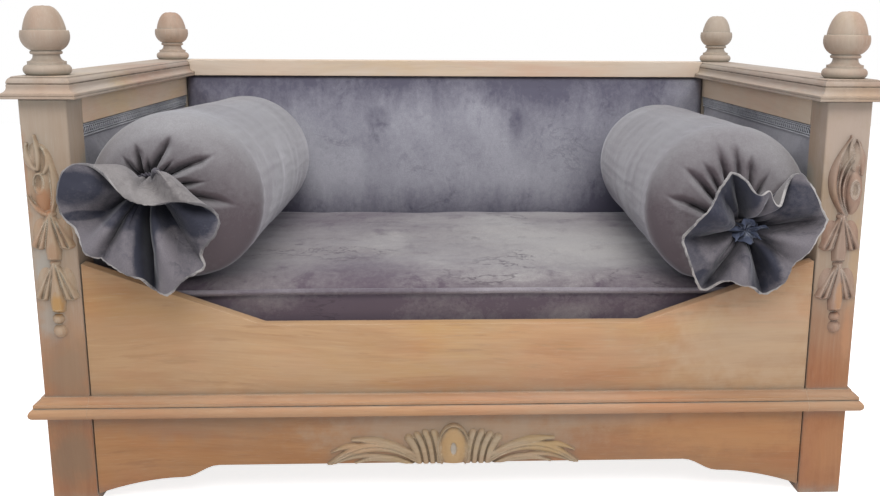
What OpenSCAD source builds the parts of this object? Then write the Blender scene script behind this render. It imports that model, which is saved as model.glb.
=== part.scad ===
// Sofa bed for a dog: a square-post timber frame with moulded arm caps, turned acorn finials,
// a planted base moulding and carved mounts, upholstered inside, with a loose box cushion and
// two tied bolsters. Millimetres. X runs across, the front faces -Y and the floor is Z = 0.

/* [Frame] */
// Width over the outer faces of the posts
frame_w = 960; // [860:10:1100]
// Depth over the outer faces of the posts
frame_d = 610; // [560:10:700]
// Height of the posts, from the floor to the underside of the caps
post_h = 483; // [470:1:540]
// Side of each square post
post_side = 52; // [50:1:58]
// Radius on the long edges of the posts
post_edge_r = 2; // [1:0.5:4]

/* [Arm caps] */
// Thickness of the arm caps and of the back top rail
cap_t = 24.5; // [22:0.5:30]
// Reach of the caps past the posts, on all four sides
cap_overhang = 15.5; // [15:0.5:18]
// Height of the square lower edge of a cap
cap_edge_h = 6; // [4:0.5:7]
// Radius of the cove in the cap moulding
cap_cove_r = 6.5; // [5:0.5:6.5]
// Radius of the rounded upper member of the cap moulding
cap_ovolo_r = 8; // [6:0.5:8.5]

/* [Finials] */
// Height of a finial above its cap
finial_h = 76; // [70:1:90]
// Radius of the foot bead
finial_foot_r = 25.7; // [23:0.1:26]
// Height of the foot bead
finial_foot_h = 11.6; // [9:0.1:13]
// Radius of the ring above the foot
finial_ring_r = 20.7; // [18:0.1:23]
// Radius of the neck
finial_neck_r = 14.3; // [12:0.1:16]
// Radius of the collar under the cup
finial_collar_r = 17.3; // [16.5:0.1:19]
// Radius of the acorn cup
finial_cup_r = 26.3; // [24:0.1:28]
// Radius of the nut where it leaves the cup
finial_nut_r = 22.9; // [20:0.1:23.5]

/* [Front and sides] */
// Thickness of the front board and of all aprons
board_t = 18; // [15:1:22]
// Recess of boards and mouldings' backs behind the post faces
board_recess = 2; // [1:0.5:3]
// Height of the front board's top where it meets the posts
board_side_top = 295; // [280:1:330]
// Height of the lowered middle of the front board, and of the side rails
board_entry_top = 221; // [205:1:240]
// Width of the lowered entry in the front board
entry_w = 444; // [360:2:560]
// Thickness of the side rails
side_rail_t = 36; // [30:1:40]
// Height of the arm rails under the caps
arm_rail_h = 32; // [26:1:40]

/* [Base moulding] */
// Height of the moulding's top above the floor
moulding_top = 136; // [130:1:142]
// Height of the moulding
moulding_h = 25; // [22:0.5:28]
// Reach of the moulding past the post faces
moulding_reach = 15.5; // [14:0.5:18]

/* [Aprons] */
// Height of the flat middle of the aprons' lower edges
apron_rise = 46; // [40:1:50]
// Height of the apron brackets where they meet the posts
apron_foot = 11; // [6:1:16]
// Run of a bracket from the post to the flat, as long on each apron
bracket_run = 146; // [110:1:160]
// Run of the small step between the bracket and the flat
bracket_step_run = 43; // [30:1:50]
// Height of that small step
bracket_step_h = 15; // [10:1:20]

/* [Seat deck] */
// Height of the slats' upper face
deck_top = 130; // [124:1:140]
// Thickness of a slat
slat_t = 18; // [14:1:20]
// Width of a slat
slat_w = 70; // [50:1:80]
// Number of slats
slat_count = 8; // [6:1:9]
// Side of the square cleats that carry the slats
cleat_side = 25; // [20:1:28]
// Height of the corner blocks
corner_block_h = 30; // [20:1:36]
// Leg of a corner block along its apron, past the post
corner_block_leg = 60; // [40:1:80]

/* [Joinery] */
// Diameter of the rail dowels
dowel_d = 8; // [6:1:9]
// Length of the rail dowels
dowel_l = 40; // [30:1:44]
// Diameter of the finial dowels
finial_dowel_d = 10; // [8:1:12]
// Depth of a finial dowel in the post, and in the finial
finial_dowel_in = 24; // [16:1:26]
// Shank diameter of the slat screws
screw_d = 4; // [3:0.5:5]
// Head diameter of the slat screws
screw_head_d = 8; // [7:0.5:10]
// Length of the slat screws
screw_l = 35; // [28:1:38]

/* [Upholstery] */
// Thickness of the boards behind the pads
backing_t = 6; // [4:0.5:8]
// Thickness of the covered panels on the outside
outer_panel_t = 4; // [3:0.5:6]
// Recess of the covered outside panels behind the post faces
outer_panel_recess = 4; // [3:0.5:6]
// Thickness of the hidden rails in the back
back_rail_t = 22; // [18:1:24]
// Height of the hidden upper rail in the back
back_upper_rail_h = 40; // [30:1:44]
// Height of the hidden lower rail in the back
back_lower_rail_h = 76; // [60:1:90]
// Reach of the pads below the tops of the side rails, behind the cushion
pad_lap = 21; // [10:1:30]
// Thickness of the back pad at its border
back_pad_t = 21; // [16:1:28]
// Crown of the back pad in front of its border
back_pad_crown = 8; // [4:1:12]
// Depth of the back top rail, front to back
back_top_rail_d = 60; // [50:1:64]
// Thickness of the arm pads at their borders
arm_pad_t = 11; // [8:1:12]
// Crown of the arm pads
arm_pad_crown = 13; // [6:1:13]
// Height of the gimp braid along the arm rails
gimp_h = 16; // [10:1:20]
// Thickness of the gimp braid
gimp_t = 2.5; // [1.5:0.5:3]

/* [Seat cushion] */
// Thickness of the seat cushion at its crown
seat_t = 132; // [110:1:140]
// Height of the crown above the upper seam
seat_crown = 8; // [6:1:14]
// Radius of the cushion's corners in plan
seat_corner_r = 34; // [26:1:50]
// Amount by which the sides draw in between the corners
seat_draw = 4; // [0:1:6]
// Radius of the piping cord
piping_r = 4; // [3:0.5:5]

/* [Bolsters] */
// Radius of a bolster
bolster_r = 95; // [80:1:100]
// Gap between the back pad and the back end of a bolster
bolster_back_gap = 5; // [2:1:60]
// Distance of the front tie behind the front faces of the posts
tie_setback = 12; // [8:1:16]
// Radius of the tied throat
throat_r = 14; // [11:1:18]
// Shift of the left throat outwards from its bolster's axis
left_throat_out = 28; // [0:1:30]
// Shift of the left throat upwards from its bolster's axis
left_throat_up = 20; // [-20:1:22]
// Shift of the right throat outwards from its bolster's axis
right_throat_out = 14; // [0:1:30]
// Shift of the right throat downwards from its bolster's axis
right_throat_down = 18; // [-20:1:22]
// Reach of the ruffles in front of the posts
ruffle_reach = 45; // [35:1:60]
// Radius of the widest lobe of a ruffle
ruffle_r = 96; // [80:1:100]
// Thickness of the doubled ruffle cloth
ruffle_t = 4; // [3:0.5:6]
// Radius of the tie cord
tie_r = 3; // [2:0.5:4]

/* [Carving] */
// Drop of the post carvings below the caps
drop_gap = 42; // [30:1:60]
// Length of one carved husk
husk_l = 57; // [45:1:60]
// Width of the middle petal of a husk
husk_w = 19; // [15:1:21]
// Length of the carved oval with its leaves
medallion_l = 62; // [50:1:70]
// Width of the carved oval
medallion_w = 23; // [18:1:26]
// Relief of the carvings
relief = 7; // [5:0.5:9]
// Width of the apron carving
apron_carving_w = 306; // [240:2:340]
// Height of the apron carving
apron_carving_h = 50; // [42:1:54]

/* [Hidden] */
$fn = 48;

// Named clearances: parts that lift out, parts that only rest, glued dowels and shared cuts
lift_gap = 1.5;
rest_gap = 0.3;
dowel_gap = 0.15;
dowel_end_gap = 1;
screw_gap = 0.2;
overrun = 1;
pad_gap = 2;

// Places across the frame
outer_x = frame_w / 2;
inner_x = outer_x - post_side;
post_x = outer_x - post_side / 2;

// Places from front to back: the origin is the middle of the whole depth
front_y = (ruffle_reach - frame_d - cap_overhang) / 2;
back_y = front_y + frame_d;
mid_y = (front_y + back_y) / 2;
front_post_y = front_y + post_side / 2;
back_post_y = back_y - post_side / 2;
post_front_inner_y = front_y + post_side;
post_back_inner_y = back_y - post_side;
board_front_y = front_y + board_recess;
board_back_y = board_front_y + board_t;
apron_back_y = back_y - board_recess - board_t;
outer_back_y = back_y - outer_panel_recess - outer_panel_t;
back_rail_y = outer_back_y - back_rail_t;
backing_y = back_rail_y - backing_t;
back_pad_y = backing_y - back_pad_t;

// Places in the arms
side_outer_x = outer_x - board_recess;
side_inner_x = side_outer_x - side_rail_t;
side_apron_x = side_outer_x - board_t;
arm_pad_x = side_inner_x - arm_pad_t;
arm_outer_panel_x = outer_x - outer_panel_recess - outer_panel_t;

// Heights
base_joint_z = moulding_top - moulding_h / 2;
moulding_z = moulding_top - moulding_h;
arm_rail_z = post_h - arm_rail_h;
pad_foot_z = board_entry_top - pad_lap;
cleat_top = deck_top - slat_t;
cleat_z = cleat_top - cleat_side;
drop_top_z = post_h - drop_gap;

// Seat cushion and bolsters
seat_z = deck_top + rest_gap;
seat_top = seat_z + seat_t;
seat_half_w = inner_x - cap_overhang - lift_gap;
seat_front_y = board_back_y + pad_gap;
seat_back_y = back_pad_y - back_pad_crown - pad_gap;
seat_half_d = (seat_back_y - seat_front_y) / 2;
seat_mid_y = (seat_back_y + seat_front_y) / 2;
bolster_x = seat_half_w - bolster_r;
bolster_z = seat_top + rest_gap + bolster_r;
tie_y = front_y + tie_setback;
bolster_l = back_pad_y - back_pad_crown - bolster_back_gap - tie_y;
ruffle_l = tie_setback + ruffle_reach;

timber = [0.74, 0.6, 0.46];
pale_timber = [0.78, 0.71, 0.63];
plain_timber = [0.8, 0.7, 0.55];
velvet = [0.5, 0.47, 0.5];
dark_velvet = [0.4, 0.37, 0.41];
braid = [0.45, 0.45, 0.48];
steel = [0.6, 0.6, 0.62];

// A block between its lowest and its highest corner
module block(low, high) {
    translate(low) cube(high - low);
}

// An outline in X and Z, drawn along Y between two places
module along_y(from, to) {
    translate([0, to, 0]) rotate([90, 0, 0]) linear_extrude(to - from) children();
}

// An outline in Y and Z, drawn along X between two places
module along_x(from, to) {
    translate([from, 0, 0]) rotate([90, 0, 90]) linear_extrude(to - from) children();
}

// The same piece on the left
module on_left() {
    mirror([1, 0, 0]) children();
}

// A frame for relief on the front: X runs right, Y up and Z out of the face
module on_front(x, y, z) {
    translate([x, y, z]) rotate([90, 0, 0]) children();
}

// Posts, with their dowel holes

module post_section() {
    inner = post_side - 2 * post_edge_r;
    square([inner, post_side], center = true);
    square([post_side, inner], center = true);
    for (x = [-1, 1], y = [-1, 1])
        translate([x, y] * inner / 2) circle(post_edge_r);
}

module post(x, y) {
    color(timber) difference() {
        translate([x, y, 0]) linear_extrude(post_h) post_section();
        finial_dowel_set(2 * dowel_gap, dowel_end_gap);
        cross_dowel_set(2 * dowel_gap, dowel_end_gap);
        side_dowel_set(2 * dowel_gap, dowel_end_gap);
    }
}

// Dowels. Each set is drawn once and also cuts its own holes, wider by the glue gap.

module finial_dowel_set(wider = 0, longer = 0) {
    for (x = [-post_x, post_x], y = [front_post_y, back_post_y])
        translate([x, y, post_h - finial_dowel_in - longer])
            cylinder(h = 2 * finial_dowel_in + cap_t + 2 * longer, d = finial_dowel_d + wider);
}

module cross_dowel(x, y, z, wider, longer) {
    translate([x, y, z]) rotate([0, 90, 0])
        cylinder(h = dowel_l + 2 * longer, d = dowel_d + wider, center = true);
}

module side_dowel(x, y, z, wider, longer) {
    translate([x, y, z]) rotate([90, 0, 0])
        cylinder(h = dowel_l + 2 * longer, d = dowel_d + wider, center = true);
}

// Heights of a pair of dowels in the end of a rail
function dowel_pair(low, high) = [low + (high - low) / 4, high - (high - low) / 4];

module cross_dowel_set(wider = 0, longer = 0) {
    front = board_front_y + board_t / 2;
    rear = back_rail_y + back_rail_t / 2;
    for (x = [-inner_x, inner_x]) {
        for (z = dowel_pair(base_joint_z, board_side_top))
            cross_dowel(x, front, z, wider, longer);
        for (z = dowel_pair(apron_rise, moulding_z)) {
            cross_dowel(x, front, z, wider, longer);
            cross_dowel(x, apron_back_y + board_t / 2, z, wider, longer);
        }
        for (z = dowel_pair(base_joint_z, base_joint_z + back_lower_rail_h))
            cross_dowel(x, rear, z, wider, longer);
        for (z = dowel_pair(post_h - back_upper_rail_h, post_h))
            cross_dowel(x, rear, z, wider, longer);
    }
}

module side_dowel_set(wider = 0, longer = 0) {
    for (side = [-1, 1], y = [post_front_inner_y, post_back_inner_y]) {
        for (z = dowel_pair(base_joint_z, board_entry_top))
            side_dowel(side * (side_inner_x + side_rail_t / 2), y, z, wider, longer);
        for (z = dowel_pair(apron_rise, moulding_z))
            side_dowel(side * (side_apron_x + board_t / 2), y, z, wider, longer);
        for (x = dowel_pair(inner_x, outer_x))
            side_dowel(side * x, y, post_h - arm_rail_h / 2, wider, longer);
    }
}

module finial_dowels() {
    color(plain_timber) finial_dowel_set();
}

module rail_dowels() {
    color(plain_timber) {
        cross_dowel_set();
        side_dowel_set();
    }
}

// Caps: one moulded section, mitred round all four sides

// Outline of the moulded edge, outwards from the flat top
module cap_edge() {
    fillet = cap_overhang - cap_cove_r - cap_ovolo_r;
    cove_face = cap_overhang - fillet;
    cove_top = cap_edge_h + cap_cove_r;
    square([cap_overhang, cap_edge_h]);
    difference() {
        square([cove_face, cove_top]);
        translate([cove_face, cove_top]) circle(cap_cove_r);
    }
    square([cap_ovolo_r, cap_t - cap_ovolo_r]);
    translate([0, cap_t - cap_ovolo_r]) intersection() {
        square(cap_ovolo_r);
        circle(cap_ovolo_r);
    }
}

// Whole section of a cap whose flat top runs between two places
module cap_section(from, to) {
    translate([from, 0]) square([to - from, cap_t]);
    translate([to, 0]) cap_edge();
    translate([from, 0]) mirror([1, 0]) cap_edge();
}

module cap_bar(from, to) {
    translate([0, 0, post_h]) along_y(from, to) cap_section(inner_x, outer_x);
}

module arm_cap() {
    low_y = front_y - cap_overhang;
    high_y = back_y + cap_overhang;
    color(pale_timber) difference() {
        intersection() {
            cap_bar(low_y, high_y);
            translate([0, 0, post_h])
                along_x(inner_x - cap_overhang, outer_x + cap_overhang)
                cap_section(front_y, back_y);
        }
        finial_dowel_set(2 * dowel_gap, dowel_end_gap);
    }
}

module left_arm_cap() {
    on_left() arm_cap();
}

module right_arm_cap() {
    arm_cap();
}

// The back top rail is coped over the caps' mouldings at both ends
module back_top_rail() {
    reach = inner_x - rest_gap;
    top = post_h + cap_t;
    color(pale_timber) difference() {
        block([-reach, back_y - back_top_rail_d, post_h], [reach, back_y, top]);
        for (side = [0, 1]) mirror([side, 0, 0])
            translate([-rest_gap, 0, 0]) {
                cap_bar(mid_y, back_y + overrun);
                block([inner_x - cap_overhang, mid_y, post_h - overrun],
                      [inner_x, back_y + overrun, post_h + cap_edge_h / 2]);
            }
    }
}

// Turned acorn finials

// Radius shares of the nut at heights up its length: nearly straight flanks and a blunt crown
nut_taper_share = 1.3;
nut_crown_share = 0.327;
function nut_share(t) = pow(1 - pow(t, nut_taper_share), nut_crown_share);

module finial_outline() {
    ring_h = finial_h * 0.045;
    neck_h = finial_h * 0.1;
    collar_h = finial_h * 0.055;
    cup_z = finial_foot_h + ring_h + neck_h + collar_h;
    nut_z = finial_h * 0.643;
    cup_h = nut_z - cup_z;
    foot_bead = finial_foot_h / 2;
    cove = finial_ring_r - finial_neck_r;
    waist_z = finial_foot_h + ring_h;
    square([finial_foot_r - foot_bead, finial_foot_h]);
    translate([finial_foot_r - foot_bead, foot_bead]) circle(foot_bead);
    square([finial_ring_r, waist_z]);
    square([finial_neck_r, cup_z]);
    difference() {
        square([finial_ring_r, waist_z + cove]);
        translate([finial_ring_r, waist_z + cove]) circle(cove);
    }
    translate([0, cup_z - collar_h]) {
        square([finial_collar_r - collar_h / 2, collar_h]);
        translate([finial_collar_r - collar_h / 2, collar_h / 2]) circle(collar_h / 2);
    }
    cup_round = cup_h * 0.79;
    translate([0, cup_z]) intersection() {
        square([finial_cup_r, cup_h]);
        union() {
            square([finial_cup_r - cup_round, cup_h]);
            translate([finial_cup_r - cup_round, cup_h * 0.73]) circle(cup_round);
        }
    }
    steps = 12;
    nut_h = finial_h - nut_z;
    polygon(concat(
        [[0, nut_z - overrun], [finial_nut_r, nut_z - overrun]],
        [for (k = [0:steps - 1]) [finial_nut_r * nut_share(k / steps), nut_z + nut_h * k / steps]],
        [[0, finial_h]]
    ));
}

module finial(x, y) {
    color(pale_timber) difference() {
        translate([x, y, post_h + cap_t]) rotate_extrude() intersection() {
            finial_outline();
            square([finial_h, finial_h]);
        }
        finial_dowel_set(2 * dowel_gap, dowel_end_gap);
    }
}

// Front: shaped board above, bracketed apron below

module front_board_outline() {
    polygon([
        [-inner_x, base_joint_z], [inner_x, base_joint_z], [inner_x, board_side_top],
        [entry_w / 2, board_entry_top], [-entry_w / 2, board_entry_top],
        [-inner_x, board_side_top]
    ]);
}

module front_board() {
    color(timber) difference() {
        along_y(board_front_y, board_back_y) front_board_outline();
        cross_dowel_set(2 * dowel_gap, dowel_end_gap);
    }
}

// Lower edge of a bracket from the post inwards: a hollow arc, then a small S-shaped step.
// It starts at the post, at run 0.
function bracket_arc(run, drop, steps) = [
    for (k = [0:steps]) [run * k / steps, drop * (1 - pow(1 - k / steps, 1.8))]
];
function bracket_step(run, rise, steps) = [
    for (k = [1:steps]) [run * k / steps, rise * (1 - cos(180 * k / steps)) / 2]
];

function bracket_points() =
    let (
        arc_run = bracket_run - bracket_step_run,
        arc_rise = apron_rise - apron_foot - bracket_step_h,
        arc = bracket_arc(arc_run, arc_rise, 8),
        step = bracket_step(bracket_step_run, bracket_step_h, 6)
    )
    concat(
        [for (p = arc) [p[0], apron_foot + p[1]]],
        [for (p = step) [arc_run + p[0], apron_rise - bracket_step_h + p[1]]]
    );

// Outline of an apron whose ends lie at half_run to each side of its middle
module apron_outline(half_run) {
    points = bracket_points();
    last = len(points) - 1;
    polygon(concat(
        [[-half_run, base_joint_z]],
        [for (p = points) [-half_run + p[0], p[1]]],
        [for (k = [0:last]) [half_run - points[last - k][0], points[last - k][1]]],
        [[half_run, base_joint_z]]
    ));
}

module front_apron() {
    color(timber) difference() {
        along_y(board_front_y, board_back_y) apron_outline(inner_x);
        cross_dowel_set(2 * dowel_gap, dowel_end_gap);
    }
}

module back_apron() {
    color(timber) difference() {
        block([-inner_x, apron_back_y, apron_rise],
              [inner_x, apron_back_y + board_t, base_joint_z]);
        cross_dowel_set(2 * dowel_gap, dowel_end_gap);
    }
}

// Sides

module side_rail() {
    color(timber) difference() {
        block([side_inner_x, post_front_inner_y, base_joint_z],
              [side_outer_x, post_back_inner_y, board_entry_top]);
        side_dowel_set(2 * dowel_gap, dowel_end_gap);
    }
}

module side_apron() {
    color(timber) difference() {
        translate([0, mid_y, 0])
            along_x(side_apron_x, side_outer_x)
            apron_outline(post_back_inner_y - mid_y);
        side_dowel_set(2 * dowel_gap, dowel_end_gap);
    }
}

module arm_rail() {
    color(timber) difference() {
        block([inner_x, post_front_inner_y, arm_rail_z], [outer_x, post_back_inner_y, post_h]);
        side_dowel_set(2 * dowel_gap, dowel_end_gap);
    }
}

module left_side_rail() {
    on_left() side_rail();
}

module right_side_rail() {
    side_rail();
}

module left_side_apron() {
    on_left() side_apron();
}

module right_side_apron() {
    side_apron();
}

module left_arm_rail() {
    on_left() arm_rail();
}

module right_arm_rail() {
    arm_rail();
}

// Base moulding: a cove over a quirk and a half-round nose, planted on the frame

// Outline from the face that it is planted on, outwards, with its foot at zero
module moulding_outline(packing) {
    nose_r = moulding_h * 0.26;
    quirk = moulding_h * 0.04;
    nose_root = moulding_reach - nose_r;
    fascia = moulding_reach * 0.68;
    cove = moulding_h * 0.3;
    translate([-packing, 0]) square([packing + nose_root, 2 * nose_r + quirk]);
    translate([nose_root, nose_r]) circle(nose_r);
    difference() {
        translate([-packing, 2 * nose_r + quirk])
            square([packing + fascia, moulding_h - 2 * nose_r - quirk]);
        translate([fascia, moulding_h]) circle(cove);
    }
}

module front_moulding() {
    color(timber)
        translate([0, front_y, moulding_z])
        along_x(-inner_x, inner_x)
        mirror([1, 0]) moulding_outline(board_recess);
}

// The piece on a front post returns round the corner, mitred
module post_moulding() {
    color(timber) difference() {
        intersection() {
            translate([outer_x, 0, moulding_z])
                along_y(front_y - moulding_reach, post_front_inner_y)
                moulding_outline(post_side);
            translate([0, front_y, moulding_z])
                along_x(inner_x, outer_x + moulding_reach)
                mirror([1, 0]) moulding_outline(post_side);
        }
        block([inner_x - overrun, front_y, moulding_z - overrun],
              [outer_x, post_front_inner_y + overrun, moulding_top + overrun]);
    }
}

module side_moulding() {
    color(timber) translate([outer_x, 0, moulding_z]) {
        along_y(post_front_inner_y, post_back_inner_y) moulding_outline(board_recess);
        along_y(post_back_inner_y, back_y) moulding_outline(0);
    }
}

module left_post_moulding() {
    on_left() post_moulding();
}

module right_post_moulding() {
    post_moulding();
}

module left_side_moulding() {
    on_left() side_moulding();
}

module right_side_moulding() {
    side_moulding();
}

// Hidden rails, backing boards and covered outside panels

module back_rail(low, high) {
    color(plain_timber) difference() {
        block([-inner_x, back_rail_y, low], [inner_x, outer_back_y, high]);
        cross_dowel_set(2 * dowel_gap, dowel_end_gap);
    }
}

module back_upper_rail() {
    back_rail(post_h - back_upper_rail_h, post_h);
}

module back_lower_rail() {
    back_rail(base_joint_z, base_joint_z + back_lower_rail_h);
}

module arm_backing() {
    color(plain_timber)
        block([side_inner_x, post_front_inner_y, board_entry_top],
              [side_inner_x + backing_t, post_back_inner_y, arm_rail_z]);
}

module left_arm_backing() {
    on_left() arm_backing();
}

module right_arm_backing() {
    arm_backing();
}

module back_backing() {
    color(plain_timber)
        block([-inner_x, backing_y, deck_top + slat_t], [inner_x, back_rail_y, post_h]);
}

module arm_outer_panel() {
    color(dark_velvet)
        block([arm_outer_panel_x, post_front_inner_y, board_entry_top],
              [arm_outer_panel_x + outer_panel_t, post_back_inner_y, arm_rail_z]);
}

module left_outer_panel() {
    on_left() arm_outer_panel();
}

module right_outer_panel() {
    arm_outer_panel();
}

module back_outer_panel() {
    color(dark_velvet)
        block([-inner_x, outer_back_y, base_joint_z],
              [inner_x, outer_back_y + outer_panel_t, post_h]);
}

// Soft forms: every one is a loft through closed rings with the same number of points

// Faces of a loft through ring_count rings of ring_n points, closed at both ends by fans
// round two last points
function loft_faces(ring_n, ring_count) =
    let (first_hub = ring_n * ring_count, last_row = ring_n * (ring_count - 1))
    concat(
        [for (i = [0:ring_n - 1]) [i, (i + 1) % ring_n, first_hub]],
        [for (j = [0:ring_count - 2], i = [0:ring_n - 1])
            [j * ring_n + i, (j + 1) * ring_n + i, (j + 1) * ring_n + (i + 1) % ring_n]],
        [for (j = [0:ring_count - 2], i = [0:ring_n - 1])
            [j * ring_n + i, (j + 1) * ring_n + (i + 1) % ring_n, j * ring_n + (i + 1) % ring_n]],
        [for (i = [0:ring_n - 1]) [last_row + (i + 1) % ring_n, last_row + i, first_hub + 1]]
    );

// Middle of a ring
function hub(ring) = [for (axis = [0:2]) [for (p = ring) p[axis]] * [for (p = ring) 1] / len(ring)];

module loft(rings) {
    polyhedron(
        points = concat(
            [for (ring = rings, point = ring) point],
            [hub(rings[0]), hub(rings[len(rings) - 1])]
        ),
        faces = loft_faces(len(rings[0]), len(rings)),
        convexity = 4
    );
}

corner_steps = 4;
side_steps = 5;

// A ring of half sizes a and b with round corners, drawn in by draw at the middle of each side
function pillow_ring(a, b, r, draw, z) = [
    for (q = [0:3], k = [0:corner_steps + side_steps - 1])
        let (
            sx = (q == 0 || q == 3) ? 1 : -1,
            sy = (q < 2) ? 1 : -1,
            centre = [sx * (a - r), sy * (b - r)],
            turn = 90 * q + 90 * min(k, corner_steps) / corner_steps,
            on_arc = centre + r * [cos(turn), sin(turn)],
            f = max(0, k - corner_steps) / side_steps,
            out = [cos(90 * q + 90), sin(90 * q + 90)],
            span = (q % 2 == 0) ? [-2 * sx * (a - r), 0] : [0, -2 * sy * (b - r)],
            p = on_arc + f * span - 4 * f * (1 - f) * draw * out
        )
        [p[0], p[1], z]
];

// A pad with a flat back: a border of one thickness, then a crown
module pad(a, b, border, thick, crown) {
    swell_shares = [[0, 0], [0.12, 0.45], [0.3, 0.8], [0.6, 1]];
    round = thick / 3;
    depth = min(a, b) - border;
    loft(concat(
        [pillow_ring(a, b, round, 0, 0),
         pillow_ring(a, b, round, 0, thick - round),
         pillow_ring(a - round, b - round, round, 0, thick)],
        [for (s = swell_shares)
            pillow_ring(a - border - depth * s[0], b - border - depth * s[0], round, 0,
                        thick + crown * s[1])]
    ));
}

module arm_pad() {
    a = (post_back_inner_y - post_front_inner_y) / 2;
    b = (arm_rail_z - pad_foot_z) / 2;
    color(dark_velvet)
        translate([side_inner_x, mid_y, (arm_rail_z + pad_foot_z) / 2])
        rotate([90, 0, -90])
        pad(a, b, gimp_h + rest_gap, arm_pad_t, arm_pad_crown);
}

module left_arm_pad() {
    on_left() arm_pad();
}

module right_arm_pad() {
    arm_pad();
}

module back_pad() {
    b = (post_h - pad_foot_z) / 2;
    color(velvet)
        translate([0, backing_y, (post_h + pad_foot_z) / 2])
        rotate([90, 0, 0])
        pad(inner_x, b, gimp_h + rest_gap, back_pad_t, back_pad_crown);
}

module gimp() {
    color(braid)
        block([arm_pad_x - gimp_t, post_front_inner_y, arm_rail_z - gimp_h],
              [arm_pad_x, back_pad_y, arm_rail_z]);
}

module left_gimp() {
    on_left() gimp();
}

module right_gimp() {
    gimp();
}

// Seat deck

module seat_cleats() {
    length = inner_x - dowel_end_gap;
    color(plain_timber) difference() {
        union() {
            block([-length, board_back_y, cleat_z], [length, board_back_y + cleat_side, cleat_top]);
            block([-length, apron_back_y - cleat_side, cleat_z], [length, apron_back_y, cleat_top]);
        }
        screw_set(2 * screw_gap, dowel_end_gap);
    }
}

function slat_x(k) =
    let (reach = inner_x - dowel_end_gap - slat_w / 2)
    -reach + 2 * reach * k / (slat_count - 1);

module seat_slats() {
    color(plain_timber) difference() {
        for (k = [0:slat_count - 1])
            block([slat_x(k) - slat_w / 2, board_back_y + dowel_end_gap, cleat_top],
                  [slat_x(k) + slat_w / 2, back_rail_y - dowel_end_gap, deck_top]);
        screw_set(2 * screw_gap, dowel_end_gap);
    }
}

// Countersunk screws, two to a slat, each over the middle of what the slat rests on
module screw_set(wider = 0, longer = 0) {
    head_h = (screw_head_d - screw_d) / 2;
    front = board_back_y + cleat_side / 2;
    rear = (apron_back_y - cleat_side + back_rail_y - dowel_end_gap) / 2;
    for (k = [0:slat_count - 1], y = [front, rear])
        translate([slat_x(k), y, deck_top]) {
            translate([0, 0, -screw_l - longer])
                cylinder(h = screw_l - head_h + longer, d = screw_d + wider);
            translate([0, 0, -head_h])
                cylinder(h = head_h, d1 = screw_d + wider, d2 = screw_head_d + wider);
        }
}

module slat_screws() {
    color(steel) screw_set();
}

// Glued blocks in the four corners, notched round the posts
module corner_blocks() {
    leg = corner_block_leg;
    color(plain_timber)
        for (side = [0, 1], end = [0, 1])
            mirror([side, 0, 0])
            translate([0, end * 2 * mid_y, 0]) mirror([0, end, 0])
            translate([0, 0, cleat_z - corner_block_h])
            linear_extrude(corner_block_h)
            polygon([
                [inner_x - leg, board_back_y], [inner_x, board_back_y],
                [inner_x, post_front_inner_y], [side_apron_x, post_front_inner_y],
                [side_apron_x, post_front_inner_y + leg]
            ]);
}

// Carvings

leaf_steps = 6;

// Section of a leaf at a share of its length: a low lip on each side of a ridge
function leaf_ring(length, width, rise, bend, fullest, t) =
    let (
        swell = sin(180 * pow(t, ln(0.5) / ln(fullest))),
        w = width / 2 * (0.12 + 0.88 * swell),
        high = rise * (0.5 + 0.5 * swell),
        low = rise / 4,
        x = bend * t * t,
        y = length * t
    )
    [[x + w, y, 0], [x - w, y, 0], [x - w, y, low], [x, y, high], [x + w, y, low]];

// A pointed leaf that rises from the origin along Y, ridged, its tip bent sideways by bend
module leaf(length, width, rise, bend = 0, fullest = 0.5) {
    loft([for (k = [0:leaf_steps])
        leaf_ring(length, width, rise, bend, fullest, k / leaf_steps)]);
}

boss_n = 16;
// Size and height of the rings of a plain bead, and of an oval with a sunk eye, as shares
bead_shares = [[1, 0], [0.92, 0.42], [0.64, 0.82], [0.24, 1]];
eyed_shares = [[1, 0], [1, 0.3], [0.86, 0.72], [0.62, 0.96], [0.36, 1], [0.28, 0.6], [0.12, 0.52]];

// An oval boss on the face, centred at the origin
module boss(length, width, rise, shares) {
    loft([for (s = shares) [for (i = [0:boss_n - 1])
        let (turn = 360 * (i + 0.5) / boss_n)
        [width / 2 * s[0] * cos(turn), length / 2 * s[0] * sin(turn), rise * s[1]]]]);
}

// A hanging husk of three petals, from its top downwards
module husk() {
    spread = 22;
    wing_l = husk_l * 0.8;
    wing_w = husk_w * 0.7;
    rotate(180) {
        leaf(husk_l, husk_w, relief, 0, 0.66);
        for (side = [-1, 1])
            rotate(-side * spread) leaf(wing_l, wing_w, relief * 0.7, side * wing_w / 3, 0.62);
    }
}

module post_drop() {
    flame_l = medallion_l * 1.45;
    flame_w = medallion_w * 0.98;
    husk_step = husk_l * 0.98;
    bead_d = husk_w * 0.74;
    translate([-flame_w * 0.3, -flame_l]) rotate(1)
        leaf(flame_l, flame_w, relief * 0.62, flame_w * 0.4, 0.42);
    translate([flame_w * 0.28, -flame_l * 0.96]) rotate(-6)
        leaf(flame_l * 0.84, flame_w * 0.9, relief * 0.56, 0, 0.5);
    translate([0, medallion_l / 2 - flame_l]) boss(medallion_l, medallion_w, relief, eyed_shares);
    for (k = [0, 1]) translate([0, -flame_l - k * husk_step]) husk();
    for (k = [0, 1])
        translate([0, -flame_l - 2 * husk_step - bead_d * (0.4 + k)])
            boss(bead_d * 1.12, bead_d * (1 + 0.15 * k), relief * 0.8, bead_shares);
}

module right_post_carving() {
    color(timber) on_front(post_x, front_y, drop_top_z) post_drop();
}

module left_post_carving() {
    color(timber) on_left() on_front(post_x, front_y, drop_top_z) post_drop();
}

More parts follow.
